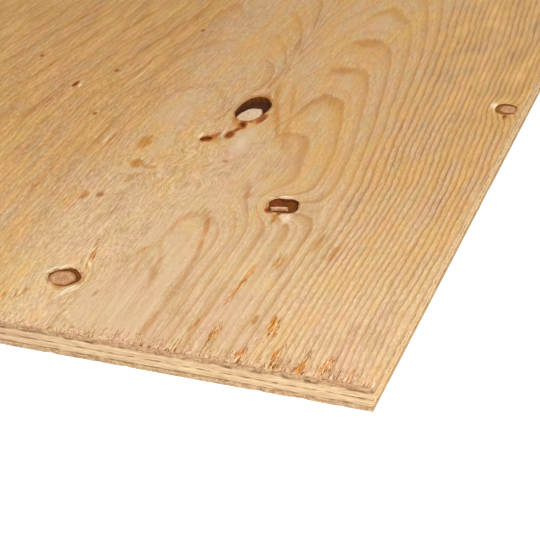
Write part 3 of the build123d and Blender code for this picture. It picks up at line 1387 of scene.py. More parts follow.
@dataclass(frozen=True)
class KnotFinish:
    """The look of knot wood or bark.

    rings is how many rings it has round its own middle, cracks how dark the cracks across them are, and
    rim how dark its rim is.
    """

    name: str
    wood: Colour
    dark: Colour
    rings: float = 2.5
    cracks: float = 0.5
    rim: float = 0.5
    surface: Surface = Surface(0.75, 0.1, 0.3, 0.6)

    def build(self, groups: Groups) -> bpy.types.Material:
        """Builds the material.

        Args:
            groups: the shared node groups.

        Returns:
            The material.
        """
        board = Coat(self.name, groups)
        layer = board.add("ShaderNodeAttribute", attribute_name=RING_LAYER)
        radius = Wire(board, layer.outputs["Fac"])
        fibres = board.group(groups.fibres, Place=board.place, Size=(3.2, 2.2, 2.0), Fine=(1.5, 0.7, 1.0))
        lump, grain = fibres["Streak"], fibres["Fleck"]
        ring = board.maths("PINGPONG", radius * self.rings + lump * 0.14, 0.5) * 2.0
        crack = board.step(abs(lump) + grain * 0.1, 0.14, 0.02)
        shade = board.maths("MAXIMUM", ring * 0.4, crack * self.cracks)
        shade = shade + board.step(radius, 0.74, 0.98) * self.rim
        colour = board.mix(shade + lump * 0.2 + grain * 0.22, self.wood, self.dark)
        return board.finish(self.surface, colour, grain * 0.6 + lump - crack)


class Paint(Enum):
    """The finishes of a ply's mesh, in the order of its material slots."""

    FACE = 0
    END_GRAIN = 1
    LONG_GRAIN = 2
    # The walls of the knots' holes: dark bark, with painted shade of the holes
    BARK = 3


def rough(place: Vector, size: float, seed: float) -> float:
    """Smooth noise, mostly between -1 and 1, at a place given in millimetres.

    Args:
        place: where to read it.
        size: how wide its bumps are.
        seed: moves the pattern.

    Returns:
        The noise.
    """
    return noise.noise(place / size + Vector((seed, seed * 1.7, seed * 0.3)))


def new_verts(made: dict[str, list]) -> list[bmesh.types.BMVert]:
    """The vertices that an extrusion made."""
    return [item for item in made["geom"] if isinstance(item, bmesh.types.BMVert)]


def new_edges(made: dict[str, list]) -> list[bmesh.types.BMEdge]:
    """The edges of the free rim that an extrusion made."""
    edges = (item for item in made["geom"] if isinstance(item, bmesh.types.BMEdge))
    return [edge for edge in edges if len(edge.link_faces) == 1]


def fill(shape: bmesh.types.BMesh, edges: list[bmesh.types.BMEdge], up: float) -> None:
    """Fills a flat outline, round any holes in it, with faces that look up, 1, or down, -1."""
    bmesh.ops.triangle_fill(shape, use_beauty=False, use_dissolve=False, edges=edges, normal=(0.0, 0.0, up))


def close_middle(shape: bmesh.types.BMesh, edges: list[bmesh.types.BMEdge]) -> None:
    """Closes a small loop by merging its vertices at their middle.

    Args:
        shape: the bmesh.
        edges: the loop.
    """
    core = list(dict.fromkeys(vert for edge in edges for vert in edge.verts))
    centre = sum((vert.co for vert in core), Vector()) / len(core)
    bmesh.ops.pointmerge(shape, verts=core, merge_co=centre)


def edges_at(place: Vector, size: Vector) -> tuple[int, int]:
    """Says which edges of the sheet a place is on.

    Args:
        place: millimetres from the near corner.
        size: the sheet's length, width and thickness.

    Returns:
        For the ends and then for the long edges, 1 on the near one, -1 on the far one, and otherwise 0.
    """
    ends = int(place.x < ON_EDGE) - int(place.x > size.x - ON_EDGE)
    sides = int(place.y < ON_EDGE) - int(place.y > size.y - ON_EDGE)
    return ends, sides


def torn_depth(place: Vector) -> float:
    """Says how deep the saw tore the fibres that it cut across: a fine fringe, and a chip here and there.

    Args:
        place: where, in millimetres.

    Returns:
        The depth in millimetres.
    """
    fringe = abs(rough(place, 1.3, 3.1))
    chip = max(0.0, rough(place, 4.5, 8.2) - 0.28)
    return 0.45 * fringe + 1.7 * chip


def clean_depth(place: Vector) -> float:
    """Says how uneven the saw left the fibres that it ran along: a slow wave, and a nick here and there.

    Args:
        place: where, in millimetres.

    Returns:
        The depth in millimetres.
    """
    wave = abs(rough(place, 40.0, 5.0))
    nick = max(0.0, rough(place, 22.0, 1.4) - 0.42)
    return 0.12 * wave + 0.5 * nick


def finish_piece(
    name: str, shape: bmesh.types.BMesh, paints: list[bpy.types.Material]
) -> bpy.types.Object:
    """Turns a bmesh in millimetres from the near corner into a piece that rides on the sheet.

    Args:
        name: the piece's name.
        shape: its bmesh, which is freed.
        paints: its materials, in slot order.

    Returns:
        The piece.
    """
    bmesh.ops.recalc_face_normals(shape, faces=shape.faces)
    bmesh.ops.scale(shape, vec=(MM, MM, MM), verts=shape.verts)
    low = Vector(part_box("back_veneer")[0])
    bmesh.ops.translate(shape, vec=low, verts=shape.verts)
    mesh = bpy.data.meshes.new(name)
    shape.to_mesh(mesh)
    shape.free()
    for paint in paints:
        mesh.materials.append(paint)
    piece = bpy.data.objects.new(name, mesh)
    bpy.context.scene.collection.objects.link(piece)
    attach(piece, "root")
    log.info("built %s: %d faces", name, len(mesh.polygons))
    return piece


@dataclass(frozen=True)
class Opening:
    """A hole through a ply round a knot or a slit.

    lean is how far its walls lean in at each loop, as a share of its size, and wobble how uneven its
    outline is.
    """

    knot: Knot
    segments: int = 96
    lean: float = 0.05
    wobble: float = 0.07

    def rim(self, shape: bmesh.types.BMesh, height: float) -> list[bmesh.types.BMEdge]:
        """Draws the hole's outline.

        Args:
            shape: the bmesh to draw in.
            height: how high the outline lies.

        Returns:
            The outline's edges.
        """
        made = bmesh.ops.create_circle(shape, cap_ends=False, segments=self.segments, radius=1.0)
        knot = self.knot
        angle = math.radians(knot.turn)
        for vert in made["verts"]:
            powers = abs(vert.co.x) ** knot.corners + abs(vert.co.y) ** knot.corners
            square = powers ** (-1.0 / knot.corners)
            torn = self.wobble * rough(vert.co, 0.6, knot.along) + 0.03 * rough(vert.co, 0.12, knot.across)
            out = square * (1.0 + torn)
            long_way = vert.co.x * out * knot.length / 2
            short_way = vert.co.y * out * knot.width / 2
            vert.co = Vector((
                knot.along + long_way * math.cos(angle) - short_way * math.sin(angle),
                knot.across + long_way * math.sin(angle) + short_way * math.cos(angle),
                height,
            ))
        return list(dict.fromkeys(edge for vert in made["verts"] for edge in vert.link_edges))

    def sink(
        self, shape: bmesh.types.BMesh, rim: list[bmesh.types.BMEdge], heights: tuple[float, ...]
    ) -> list[bmesh.types.BMEdge]:
        """Takes the outline down through the ply as a leaning, ragged wall.

        Args:
            shape: the bmesh.
            rim: the outline's edges.
            heights: the heights of the wall's lower loops.

        Returns:
            The last loop's edges.
        """
        middle = Vector((self.knot.along, self.knot.across, 0.0))
        for height in heights:
            before = set(shape.faces)
            made = bmesh.ops.extrude_edge_only(shape, edges=rim)
            for vert in new_verts(made):
                share = 1.0 - self.lean * (1.0 + 0.8 * rough(vert.co, 2.0, height))
                flat = Vector((vert.co.x, vert.co.y, 0.0))
                vert.co = middle + (flat - middle) * share + Vector((0.0, 0.0, height))
            for face in set(shape.faces) - before:
                # The wall takes the dark bark, which carries painted shade of the hole as well
                face.material_index = Paint.BARK.value
            rim = new_edges(made)
        return rim


@dataclass(frozen=True)
class Lump:
    """A broken or worn piece of wood in a knot's hole, in millimetres from the near corner.

    sink is how far its rim lies below the face, dome how far its middle stands above its rim, tear how
    rough its top is, and foot how high its underside lies. loops says how far out its loops are.
    """

    name: str
    knot: Knot
    paint: str
    sink: float = 0.4
    dome: float = 0.15
    tear: float = 0.2
    foot: float = 9.6
    segments: int = 64
    loops: tuple[float, ...] = (0.93, 0.84, 0.72, 0.58, 0.44, 0.3, 0.16)
    wobble: float = 0.12

    def build(self, paints: dict[str, bpy.types.Material]) -> bpy.types.Object:
        """Builds the lump as a closed mesh.

        Args:
            paints: the materials by name.

        Returns:
            The piece.
        """
        shape = bmesh.new()
        ring = shape.verts.layers.float.new(RING_LAYER)
        height = FACE_HEIGHT - self.sink
        rim = Opening(self.knot, self.segments, wobble=self.wobble).rim(shape, height)
        for vert in shape.verts:
            vert[ring] = 1.0
        middle = Vector((self.knot.along, self.knot.across, height))
        inner = rim
        last = 1.0
        for share in self.loops:
            made = bmesh.ops.extrude_edge_only(shape, edges=inner)
            for vert in new_verts(made):
                flat = (vert.co - middle) * (share / last)
                place = middle + flat
                torn = self.tear * (rough(place, 2.2, 6.0) + 0.5 * rough(place, 0.8, 2.0))
                rise = self.dome * (1.0 - share * share) + torn * (1.0 - share ** 8)
                vert.co = middle + Vector((flat.x, flat.y, rise))
                vert.co.z = min(vert.co.z, FACE_HEIGHT + PROUD)
                vert[ring] = share
            inner = new_edges(made)
            last = share
        close_middle(shape, inner)
        made = bmesh.ops.extrude_edge_only(shape, edges=rim)
        for vert in new_verts(made):
            vert.co.z = self.foot
            vert[ring] = 1.0
        fill(shape, new_edges(made), -1.0)
        return finish_piece(self.name, shape, [paints[self.paint]])


@dataclass(frozen=True)
class BarkFloor:
    """The crumbled bark and resin at the bottom of the knots' holes, drawn darker with painted shade of the
    holes.

    It is rise thick, with crumbs of about crumb, and a bank against the hole's wall.
    """

    openings: tuple[Opening, ...]
    bottom: float = 9.52
    rise: float = 0.35
    crumb: float = 0.5
    bank: float = 0.5
    thinnest: float = 0.1
    loops: tuple[float, ...] = (0.86, 0.7, 0.54, 0.38, 0.22)

    def build(self, paint: bpy.types.Material) -> bpy.types.Object:
        """Builds the floors of all the holes as one piece.

        Args:
            paint: the bark's material.

        Returns:
            The piece.
        """
        shape = bmesh.new()
        ring = shape.verts.layers.float.new(RING_LAYER)
        for opening in self.openings:
            inner, last = opening.rim(shape, self.bottom), 1.0
            middle = Vector((opening.knot.along, opening.knot.across, self.bottom))
            fill(shape, inner, -1.0)
            for number, share in enumerate((1.0, *self.loops)):
                made = bmesh.ops.extrude_edge_only(shape, edges=inner)
                for vert in new_verts(made):
                    flat = (vert.co - middle) * (share / last)
                    place = middle + flat
                    crumbs = self.crumb * (rough(place, 3.0, 1.0) + 0.6 * rough(place, 1.1, 4.0))
                    rise = self.rise + crumbs + (self.bank if number == 0 else 0.0)
                    vert.co = Vector((place.x, place.y, self.bottom + max(self.thinnest, rise)))
                    vert[ring] = share * 0.6
                inner, last = new_edges(made), share
            close_middle(shape, inner)
        return finish_piece("knot_bark", shape, [paint])


@dataclass(frozen=True)
class SplinterZone:
    """A patch of torn fibres, in millimetres from the near corner.

    turn is how far they spread from the grain, and lift how far they may stand up, both in degrees.
    """

    count: int
    along: tuple[float, float]
    across: tuple[float, float]
    length: tuple[float, float]
    width: tuple[float, float]
    turn: float = 7.0
    lift: float = 2.0


@dataclass(frozen=True)
class Splinters:
    """Torn fibres that stand up from the face, most of them where the saw came out at the near end.

    sunk is how far below the face their middles lie, flattest the least lift, in degrees, and ahead the
    share of them that point away from the near end. root and tip are the radii of their two ends, as a
    share of their width.
    """

    name: str
    zones: tuple[SplinterZone, ...]
    seed: int
    thickness: float = 0.16
    end_inset: float = 0.02
    sunk: float = 0.02
    flattest: float = -0.4
    ahead: float = 0.7
    root: float = 0.5
    tip: float = 0.06

    def build(self, paint: bpy.types.Material) -> bpy.types.Object:
        """Builds all the splinters as one piece, each a thin blade with a few faces.

        Args:
            paint: their material.

        Returns:
            The piece.
        """
        dice = random.Random(self.seed)
        shape = bmesh.new()
        for zone in self.zones:
            for _ in range(zone.count):
                length = dice.uniform(*zone.length)
                width = dice.uniform(*zone.width)
                along, across = dice.uniform(*zone.along), dice.uniform(*zone.across)
                place = Vector((along, across, FACE_HEIGHT - self.sunk))
                turn = math.radians(dice.gauss(0.0, zone.turn))
                lift = math.radians(dice.uniform(self.flattest, zone.lift))
                ahead = 1.0 if dice.random() < self.ahead else -1.0
                blade = (
                    Matrix.Translation(place)
                    @ Matrix.Rotation(turn, 4, "Z")
                    @ Matrix.Rotation(-lift * ahead, 4, "Y")
                    @ Matrix.Diagonal((length * ahead, width, self.thickness, 1.0))
                    @ Matrix.Rotation(math.pi / 2, 4, "Y")
                )
                made = bmesh.ops.create_cone(
                    shape, cap_ends=True, cap_tris=True, segments=4,
                    radius1=self.root, radius2=self.tip, depth=1.0, matrix=blade,
                )
                for vert in made["verts"]:
                    vert.co.x = max(vert.co.x, self.end_inset)
                    vert.co.z = min(vert.co.z, FACE_TOP)
        return finish_piece(self.name, shape, [paint])


@dataclass(frozen=True)
class Ply:
    """One veneer of the sheet, in millimetres above the sheet's underside, with its sawn edges.

    finishes names its materials, in the order of Paint. A saw leaves the fibres torn where it cuts
    across them and clean where it runs along them. Gaps are the wedge-shaped openings between the
    clipped strips of a core ply, by their place along the sheet. sink is how far the ply's surface lies
    below its top, and rim how wide the slope is from there to the sawn edge. wall_loops says how deep the
    loops of a hole's wall are.

    The edge's profile goes from the arris at the top, over the shoulder, to the foot.
    """

    name: str
    slot: str
    finishes: tuple[str, ...]
    bottom: float
    top: float
    grain: Grain
    openings: tuple[Opening, ...] = ()
    gaps: tuple[float, ...] = ()
    gap_side: int = 1
    gap_mouth: float = 3.0
    gap_reach: float = 420.0
    sink: float = 0.0
    rim: float = 0.0
    arris_inset: float = 0.14
    arris_drop: float = 0.0
    arris_lower: float = 0.0
    shoulder_inset: float = 0.02
    shoulder: float = 0.4
    foot: float = 0.3
    foot_inset: float = 0.14
    torn_step: float = 0.8
    clean_step: float = 3.0
    undivided: float = 100.0
    wall_loops: tuple[float, ...] = (0.35, 1.6)

    def outline(self, shape: bmesh.types.BMesh, size: Vector) -> list[bmesh.types.BMEdge]:
        """Draws the ply's outline with points close enough for torn fibres.

        Args:
            shape: the bmesh.
            size: the sheet's length, width and thickness.

        Returns:
            The outline's edges.
        """
        corners = [(0.0, 0.0)]
        if self.gap_side < 0:
            corners += self.gap_points(0.0, 1.0)
        corners += [(size.x, 0.0), (size.x, size.y)]
        if self.gap_side > 0:
            corners += reversed(self.gap_points(size.y, -1.0))
        corners += [(0.0, size.y)]
        verts = [shape.verts.new((x, y, self.top)) for x, y in corners]
        for start, end in zip(verts, verts[1:] + verts[:1]):
            shape.edges.new((start, end))
        end_step, side_step = self.torn_step, self.clean_step
        if self.grain is Grain.ACROSS:
            end_step, side_step = side_step, end_step
        self.divide(shape, lambda run: abs(run.x) < ON_EDGE, end_step)
        self.divide(shape, lambda run: abs(run.y) < ON_EDGE, side_step)
        self.divide(shape, lambda run: min(abs(run.x), abs(run.y)) > ON_EDGE, self.gap_reach / 12)
        sawn = shape.verts.layers.float_vector.new(SAWN_LAYER)
        for vert in shape.verts:
            vert[sawn] = vert.co
        return list(shape.edges)

    def divide(self, shape: bmesh.types.BMesh, picks: Callable[[Vector], bool], step: float) -> None:
        """Divides the outline's long edges that run one way.

        Args:
            shape: the bmesh.
            picks: says whether an edge runs that way.
            step: how long each piece may be.
        """
        edges = [
            edge
            for edge in shape.edges
            if edge.calc_length() > self.undivided and picks(edge.verts[0].co - edge.verts[1].co)
        ]
        if edges:
            cuts = int(max(edge.calc_length() for edge in edges) / step)
            bmesh.ops.subdivide_edges(shape, edges=edges, cuts=cuts)

    def gap_points(self, edge: float, inward: float) -> list[tuple[float, float]]:
        """The corners of the gaps along one long edge, from the near end to the far one.

        Args:
            edge: where the edge lies across the sheet.
            inward: 1 where the sheet is beyond the edge, and -1 where it is before it.

        Returns:
            The corners, along and across the sheet.
        """
        half = self.gap_mouth / 2
        reach = edge + inward * self.gap_reach
        return [
            point
            for place in self.gaps
            for point in ((place - half, edge), (place, reach), (place + half, edge))
        ]

    def trim(
        self, vert: bmesh.types.BMVert, sawn: Vector, size: Vector, inset: float, drop: float, height: float
    ) -> None:
        """Puts a vertex of a wall in from its sawn edge, further where the fibres are torn.

        Args:
            vert: the vertex.
            sawn: its place on the ply's outline.
            size: the sheet's length, width and thickness.
            inset: how far the edge is drawn in at least.
            drop: how much of the tearing also lowers the vertex.
            height: the vertex's height before that.
        """
        place = Vector((sawn.x, sawn.y, height))
        ends, sides = edges_at(place, size)
        torn_ends = self.grain is Grain.ALONG
        torn, clean = torn_depth(place), clean_depth(place)
        ends_in = inset + (torn if torn_ends else clean)
        sides_in = inset + (clean if torn_ends else torn)
        worst = max(torn if ends and torn_ends else 0.0, torn if sides and not torn_ends else 0.0)
        vert.co = Vector((place.x + ends * ends_in, place.y + sides * sides_in, height - drop * worst))

    def build(self, size: Vector, paints: dict[str, bpy.types.Material]) -> bpy.types.Object:
        """Builds the ply's closed mesh and puts it in its node's place.

        Args:
            size: the sheet's length, width and thickness.
            paints: the materials by name.

        Returns:
            The piece.
        """
        shape = bmesh.new()
        top = self.top - self.sink
        outer = self.outline(shape, size)
        sawn = shape.verts.layers.float_vector[SAWN_LAYER]
        if self.rim:
            self.draw_rim(shape, outer, size, top)
        levels = (
            (self.arris_inset, self.arris_drop, top - self.arris_lower),
            (self.shoulder_inset, 0.0, top - self.shoulder),
            (0.0, 0.0, self.bottom + self.foot),
            (self.foot_inset, 0.0, self.bottom),
        )
        for number, (inset, drop, height) in enumerate(levels):
            verts = {vert for edge in outer for vert in edge.verts}
            if number:
                made = bmesh.ops.extrude_edge_only(shape, edges=outer)
                verts, outer = new_verts(made), new_edges(made)
            for vert in verts:
                self.trim(vert, vert[sawn], size, inset, drop, height)
        self.paint_walls(shape, size)
        lowest = set(outer)
        top_edges = [edge for edge in shape.edges if len(edge.link_faces) == 1 and edge not in lowest]
        bottom_edges = list(outer)
        for opening in self.openings:
            rim = opening.rim(shape, top)
            heights = (*(top - depth for depth in self.wall_loops), self.bottom)
            low = opening.sink(shape, rim, heights)
            top_edges += rim
            bottom_edges += low
        fill(shape, top_edges, 1.0)
        fill(shape, bottom_edges, -1.0)
        shape.verts.layers.float_vector.remove(sawn)
        own_paints = [paints[name] for name in self.finishes]
        piece = finish_piece(self.name + "_wood", shape, own_paints)
        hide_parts(self.name)
        return piece

    def draw_rim(
        self, shape: bmesh.types.BMesh, edges: list[bmesh.types.BMEdge], size: Vector, top: float
    ) -> None:
        """Adds a loop just inside the outline, so that torn fibres slope down to the sawn edge.

        Args:
            shape: the bmesh.
            edges: the outline's edges.
            size: the sheet's length, width and thickness.
            top: the height of the ply's surface.
        """
        made = bmesh.ops.extrude_edge_only(shape, edges=edges)
        for vert in new_verts(made):
            place = vert.co.copy()
            depth = self.rim * (1.0 + 0.6 * rough(place, 3.0, 2.2))
            ends, sides = edges_at(place, size)
            vert.co = Vector((place.x + ends * depth, place.y + sides * depth, top))

    def paint_walls(self, shape: bmesh.types.BMesh, size: Vector) -> None:
        """Gives the sawn edges their end grain or long grain.

        Args:
            shape: the bmesh, which has only walls so far.
            size: the sheet's length, width and thickness.
        """
        sawn = shape.verts.layers.float_vector[SAWN_LAYER]
        for face in shape.faces:
            if self.rim and max(vert.co.z for vert in face.verts) > self.top - self.sink - ON_EDGE:
                continue
            at_side = all(min(vert[sawn].y, size.y - vert[sawn].y) < ON_EDGE for vert in face.verts)
            torn = at_side == (self.grain is Grain.ACROSS)
            face.material_index = (Paint.END_GRAIN if torn else Paint.LONG_GRAIN).value


@dataclass(frozen=True)
class Lamp:
    """A soft square lamp at a place, turned to a target, both in millimetres from the near corner."""

    name: str
    place: tuple[float, float, float]
    target: tuple[float, float, float]
    watts: float
    side: float

    def build(self, sheet: Sheet) -> None:
        """Builds the lamp.

        Args:
            sheet: the sheet that it is placed from.
        """
        data = bpy.data.lights.new(self.name, "AREA")
        data.energy = self.watts
        data.size = self.side
        lamp = bpy.data.objects.new(self.name, data)
        bpy.context.scene.collection.objects.link(lamp)
        lamp.location = sheet.at(*self.place)
        ahead = sheet.at(*self.target) - sheet.at(*self.place)
        lamp.rotation_euler = ahead.to_track_quat("-Z", "Y").to_euler()


@dataclass(frozen=True)
class Studio:
    """A pale floor, soft lights and the camera at the photo's angle.

    The eye is placed in millimetres from the near corner: along the sheet, across it and above the face.
    The floor's side, how far it goes in under the sheet, and its drop below it are in metres. glow is
    what the floor and the sky add for the camera, so that both look pale without lighting the sheet.
    """

    eye: tuple[float, float, float] = (-695.0, -186.0, 467.0)
    yaw: float = 18.5
    pitch: float = 29.7
    lens: float = 134.4
    floor_side: float = 30.0
    floor_tuck: float = 0.006
    floor_drop: float = 0.0001
    floor_shade: float = 0.86
    floor_glow: float = 0.45
    sky: float = 0.42
    sky_glow: float = 0.39
    lamps: tuple[Lamp, ...] = (
        Lamp("key", (-560.0, -540.0, 700.0), (60.0, 40.0, 0.0), 12.0, 0.8),
        Lamp("fill", (1750.0, 600.0, 1700.0), (1750.0, 600.0, 0.0), 8.0, 1.6),
    )

    def build_floor(self, sheet: Sheet) -> bpy.types.Object:
        """The floor, wide and flat. It is open under the sheet, so that light reaches the back from below.

        Args:
            sheet: the sheet that lies on it.

        Returns:
            The floor object.
        """
        shape = bmesh.new()
        size = sheet.high - sheet.low
        corner_radius = math.sqrt(0.5)
        for length, width in (
            (self.floor_side, self.floor_side),
            (size.x - self.floor_tuck * 2, size.y - self.floor_tuck * 2),
        ):
            outline = Matrix.Diagonal((length, width, 1.0, 1.0)) @ Matrix.Rotation(math.pi / 4, 4, "Z")
            bmesh.ops.create_circle(shape, cap_ends=False, segments=4, radius=corner_radius, matrix=outline)
        bmesh.ops.bridge_loops(shape, edges=shape.edges)
        middle = (sheet.low + sheet.high) / 2
        below = Vector((middle.x, middle.y, sheet.low.z - self.floor_drop))
        bmesh.ops.translate(shape, vec=below, verts=shape.verts)
        for face in shape.faces:
            if face.normal.z < 0.0:
                face.normal_flip()
        mesh = bpy.data.meshes.new("floor")
        shape.to_mesh(mesh)
        shape.free()
        floor = bpy.data.objects.new("floor", mesh)
        bpy.context.scene.collection.objects.link(floor)
        material = bpy.data.materials.new("floor")
        material.use_nodes = True
        board = Board(material.node_tree)
        shader = board.tree.nodes["Principled BSDF"]
        shader.inputs["Base Color"].default_value = (*[self.floor_shade] * 3, 1.0)
        shader.inputs["Roughness"].default_value = 0.9
        shader.inputs["Specular IOR Level"].default_value = 0.0
        shader.inputs["Emission Color"].default_value = (1.0, 1.0, 1.0, 1.0)
        board.feed(shader.inputs["Emission Strength"], board.seen() * self.floor_glow)
        mesh.materials.append(material)
        floor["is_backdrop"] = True
        return floor

    def build_world(self) -> None:
        """An even white sky, which looks as pale as the floor does."""
        world = bpy.data.worlds.new("studio")
        world.use_nodes = True
        bpy.context.scene.world = world
        board = Board(world.node_tree)
        background = board.tree.nodes["Background"]
        background.inputs["Color"].default_value = (1.0, 1.0, 1.0, 1.0)
        board.feed(background.inputs["Strength"], board.seen() * self.sky_glow + self.sky)

    def build_camera(self, sheet: Sheet) -> None:
        """The camera, looking down on the near corner.

        Args:
            sheet: the sheet that it is placed from.
        """
        data = bpy.data.cameras.new("camera")
        data.lens = self.lens
        data.clip_start = 0.01
        camera = bpy.data.objects.new("camera", data)
        bpy.context.scene.collection.objects.link(camera)
        camera.location = sheet.at(*self.eye)
        yaw = math.radians(self.yaw)
        pitch = math.radians(self.pitch)
        level = Vector((math.cos(yaw), math.sin(yaw), 0.0))
        ahead = level * math.cos(pitch) - Vector((0.0, 0.0, math.sin(pitch)))
        camera.rotation_euler = ahead.to_track_quat("-Z", "Y").to_euler()
        bpy.context.scene.camera = camera

    def build(self, sheet: Sheet) -> None:
        """Builds the whole studio round the sheet.

        Args:
            sheet: the sheet that lies in it.
        """
        bpy.context.scene.view_settings.view_transform = "Standard"
        self.build_floor(sheet)
        self.build_world()
        for lamp in self.lamps:
            lamp.build(sheet)
        self.build_camera(sheet)


def build_groups(corner: Vector) -> Groups:
    """Builds the node groups that the finishes share.

    Args:
        corner: the sheet's near corner at the face, in metres.

    Returns:
        The groups.
    """
    oval, fibres = oval_group(), fibres_group()
    rings = FaceRings().build(SEEN_KNOTS + FAR_KNOTS)
    return Groups(
        place=place_group(corner),
        oval=oval,
        fibres=fibres,
        tint=tint_group(),
        glue=glue_group(),
        wood=VeneerWood().build(rings, fibres),
        knots=KnotPaint().build(oval),
    )


VENEER_FINISHES = (
    VeneerFinish("face_wood", True),
    VeneerFinish("back_wood", False),
)
EDGE_FINISHES = (
    EdgeFinish("face_end_grain", srgb(216, 178, 138), srgb(170, 124, 82), False),
    EdgeFinish("face_long_grain", srgb(222, 182, 132), srgb(188, 146, 96), True),
    EdgeFinish("core_end_grain", srgb(238, 204, 158), srgb(210, 170, 120), False),
    EdgeFinish("core_long_grain", srgb(240, 208, 168), srgb(212, 174, 130), True),
    EdgeFinish("back_end_grain", srgb(222, 188, 150), srgb(172, 134, 94), False),
    EdgeFinish("back_long_grain", srgb(208, 176, 134), srgb(180, 142, 98), True),
)
# The knot holes' walls: bark darkened with painted shade of the deep holes
HOLE_BARK_AND_SHADE = KnotFinish("bark", srgb(104, 54, 16), srgb(50, 20, 5), 0.0, 0.6)
KNOT_FINISHES = (
    # The holes' floors: bark crumbs darkened with painted shade of the deep holes
    KnotFinish("bark_crumbs_and_shade", srgb(82, 44, 26), srgb(34, 15, 8), 0.0, 0.6),
    KnotFinish("bark_ring", srgb(130, 72, 22), srgb(66, 30, 5), 0.0, 0.5, 0.0),
    KnotFinish("thin_bark_ring", srgb(158, 98, 42), srgb(84, 40, 10), 0.0, 0.6, 0.0),
    KnotFinish("pale_knot_wood", srgb(246, 220, 184), srgb(206, 142, 88), 1.0, 0.2, 0.45),
    KnotFinish("pink_knot_wood", srgb(240, 200, 164), srgb(206, 134, 90), 1.2, 0.3, 0.4),
    KnotFinish("heart_wood", srgb(226, 170, 124), srgb(160, 102, 52), 1.6, 0.4, 0.35),
    KnotFinish("red_knot_wood", srgb(150, 72, 22), srgb(84, 34, 8), 1.0, 0.5, 0.2),
)
FIBRE_FINISHES = (
    EdgeFinish("torn_fibre", srgb(244, 214, 172), srgb(204, 150, 92), False, 1.4),
    EdgeFinish("stained_fibre", srgb(186, 124, 66), srgb(128, 74, 34), False, 1.4),
)
LUMPS = (
    Lump(
        "large_knot_wood", Knot(238.2, 138.0, 20.4, 10.6, -13.0, 0.0, 2.2), "pale_knot_wood",
        sink=0.16, dome=0.1, tear=0.2,
    ),
    Lump(
        "large_knot_bark", Knot(237.0, 134.8, 17.0, 12.4, 0.0, 0.0, 2.4), "bark_ring",
        sink=0.7, dome=0.0, tear=0.4,
    ),
    Lump(
        "small_knot_wood", Knot(146.4, 92.6, 8.6, 6.4, 8.0, 0.0, 3.0), "red_knot_wood",
        sink=0.6, dome=0.1, tear=0.3,
    ),
    Lump(
        "small_knot_bark", Knot(144.6, 86.4, 15.2, 12.6, 8.0, 0.0, 3.4), "bark_ring",
        sink=1.3, dome=-0.3, tear=0.7,
    ),
    Lump(
        "small_knot_sliver", Knot(142.6, 89.4, 8.6, 2.0, -72.0, 0.0, 2.6), "pink_knot_wood",
        sink=0.2, dome=0.1, tear=0.1,
    ),
    Lump(
        "slit_bark", Knot(203.8, 150.4, 7.4, 4.6, 130.0, 0.0, 2.4), "bark_ring",
        sink=0.6, dome=0.0, tear=0.3,
    ),
    Lump(
        "left_knot_bark", Knot(45.2, 162.4, 17.6, 16.8, -6.0, 0.0, 1.75), "bark_ring",
        sink=0.22, dome=0.0, tear=0.3,
    ),
    Lump(
        "left_knot_wood", Knot(44.2, 163.2, 12.8, 12.2, -4.0, 0.0, 2.0), "heart_wood",
        sink=0.08, dome=0.12, tear=0.1,
    ),
    Lump(
        "edge_knot_bark", Knot(289.8, 8.2, 13.8, 12.0, 0.0, 0.0, 2.8), "thin_bark_ring",
        sink=0.22, dome=0.0, tear=0.3,
    ),
    Lump(
        "edge_knot_wood", Knot(290.0, 7.1, 9.0, 8.8, 0.0, 0.0, 2.8), "heart_wood",
        sink=0.1, dome=0.12, tear=0.12,
    ),
)
TUFT_ZONES = tuple(
    SplinterZone(14, (1.0, 20.0), (streak - 2.0, streak + 2.0), (4.0, 12.0), (0.3, 0.8))
    for streak in (23.6, 34.5, 45.5, 61.0)
) + (
    SplinterZone(14, (22.0, 38.0), (53.0, 57.0), (4.0, 12.0), (0.3, 0.8)),
    SplinterZone(14, (10.0, 28.0), (77.8, 81.0), (4.0, 12.0), (0.3, 0.8)),
)
NEAR_END_ZONES = (
    SplinterZone(220, (0.5, 10.0), (2.0, 150.0), (2.0, 9.0), (0.25, 0.7)),
    SplinterZone(130, (0.5, 7.0), (150.0, 300.0), (2.0, 6.0), (0.25, 0.6)),
    SplinterZone(300, (0.5, 6.0), (300.0, 1215.0), (2.0, 6.0), (0.25, 0.6)),
)


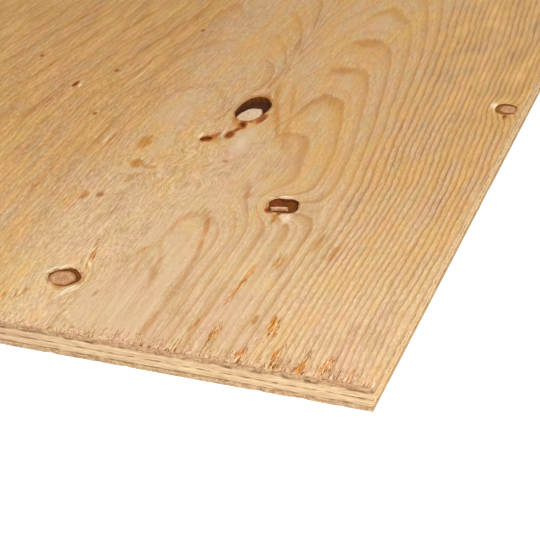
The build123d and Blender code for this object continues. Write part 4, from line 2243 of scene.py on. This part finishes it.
@dataclass(frozen=True)
class Veneers:
    """The four plies of the sheet, with the holes of the face and the gaps of the core."""

    size: Vector
    openings: tuple[Opening, ...]
    lower_core_bottom: float = 2.7
    upper_core_bottom: float = 6.0
    face_bottom: float = 9.5
    upper_gaps: tuple[float, ...] = (579.2, 1219.2, 1859.2)
    lower_gaps: tuple[float, ...] = (1219.2, 1859.2)

    def plies(self) -> tuple[Ply, ...]:
        """Lists the plies from the face down.

        Returns:
            The plies.
        """
        core_finishes = ("core_long_grain", "core_end_grain", "core_long_grain", "bark")
        return (
            Ply(
                "face_veneer", "face_wood", ("face_wood", "face_end_grain", "face_long_grain", "bark"),
                self.face_bottom, FACE_TOP, Grain.ALONG, self.openings,
                sink=FACE_SINK, rim=2.4, arris_inset=0.1, arris_drop=0.45, arris_lower=0.06,
            ),
            Ply(
                "upper_core_veneer", "core_wood", core_finishes,
                self.upper_core_bottom, self.face_bottom, Grain.ACROSS,
                gaps=self.upper_gaps, gap_side=1,
            ),
            Ply(
                "lower_core_veneer", "core_wood", core_finishes,
                self.lower_core_bottom, self.upper_core_bottom, Grain.ACROSS,
                gaps=self.lower_gaps, gap_side=-1,
            ),
            Ply(
                "back_veneer", "back_wood", ("back_wood", "back_end_grain", "back_long_grain", "bark"),
                0.0, self.lower_core_bottom, Grain.ALONG,
            ),
        )

    def build(self, groups: Groups) -> None:
        """Builds the plies.

        Args:
            groups: the shared node groups.
        """
        finishes = (*VENEER_FINISHES, *EDGE_FINISHES, HOLE_BARK_AND_SHADE)
        paints = {finish.name: finish.build(groups) for finish in finishes}
        for ply in self.plies():
            ply.build(self.size, paints)


@dataclass(frozen=True)
class KnotPieces:
    """What stands and lies in the holes of the face."""

    openings: tuple[Opening, ...]

    def build(self, groups: Groups) -> None:
        """Builds the bark at the bottom of the open holes, darkened with painted shade of the holes, and
        the lumps in all of them.

        Args:
            groups: the shared node groups.
        """
        paints = {finish.name: finish.build(groups) for finish in KNOT_FINISHES}
        BarkFloor(self.openings).build(paints["bark_crumbs_and_shade"])
        for lump in LUMPS:
            lump.build(paints)


@dataclass(frozen=True)
class TornFibres:
    """The splinters of the face, pale ones and stained ones."""

    pale: Splinters = Splinters("torn_fibres", NEAR_END_ZONES + TUFT_ZONES, 5)
    stained: Splinters = Splinters("stained_fibres", NEAR_END_ZONES + TUFT_ZONES, 8)

    def build(self, groups: Groups) -> None:
        """Builds both kinds.

        Args:
            groups: the shared node groups.
        """
        for splinters, finish in zip((self.pale, self.stained), FIBRE_FINISHES):
            splinters.build(finish.build(groups))


def main() -> None:
    """Builds the looks piece by piece and reports each."""
    logging.basicConfig(level=logging.INFO, format="%(name)s: %(message)s")
    cad_low, cad_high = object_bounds()
    sheet = Sheet(Vector(cad_low), Vector(cad_high))
    size = (sheet.high - sheet.low) / MM
    groups = build_groups(sheet.corner)
    open_knots = tuple(Opening(knot) for knot in (LARGE_KNOT, SMALL_KNOT, BARK_SLIT))
    sound_knots = tuple(Opening(knot) for knot in (LEFT_KNOT, EDGE_KNOT))
    Veneers(size, open_knots + sound_knots).build(groups)
    KnotPieces(open_knots).build(groups)
    TornFibres().build(groups)
    Studio().build(sheet)
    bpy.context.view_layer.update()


if __name__ == "__main__":
    main()
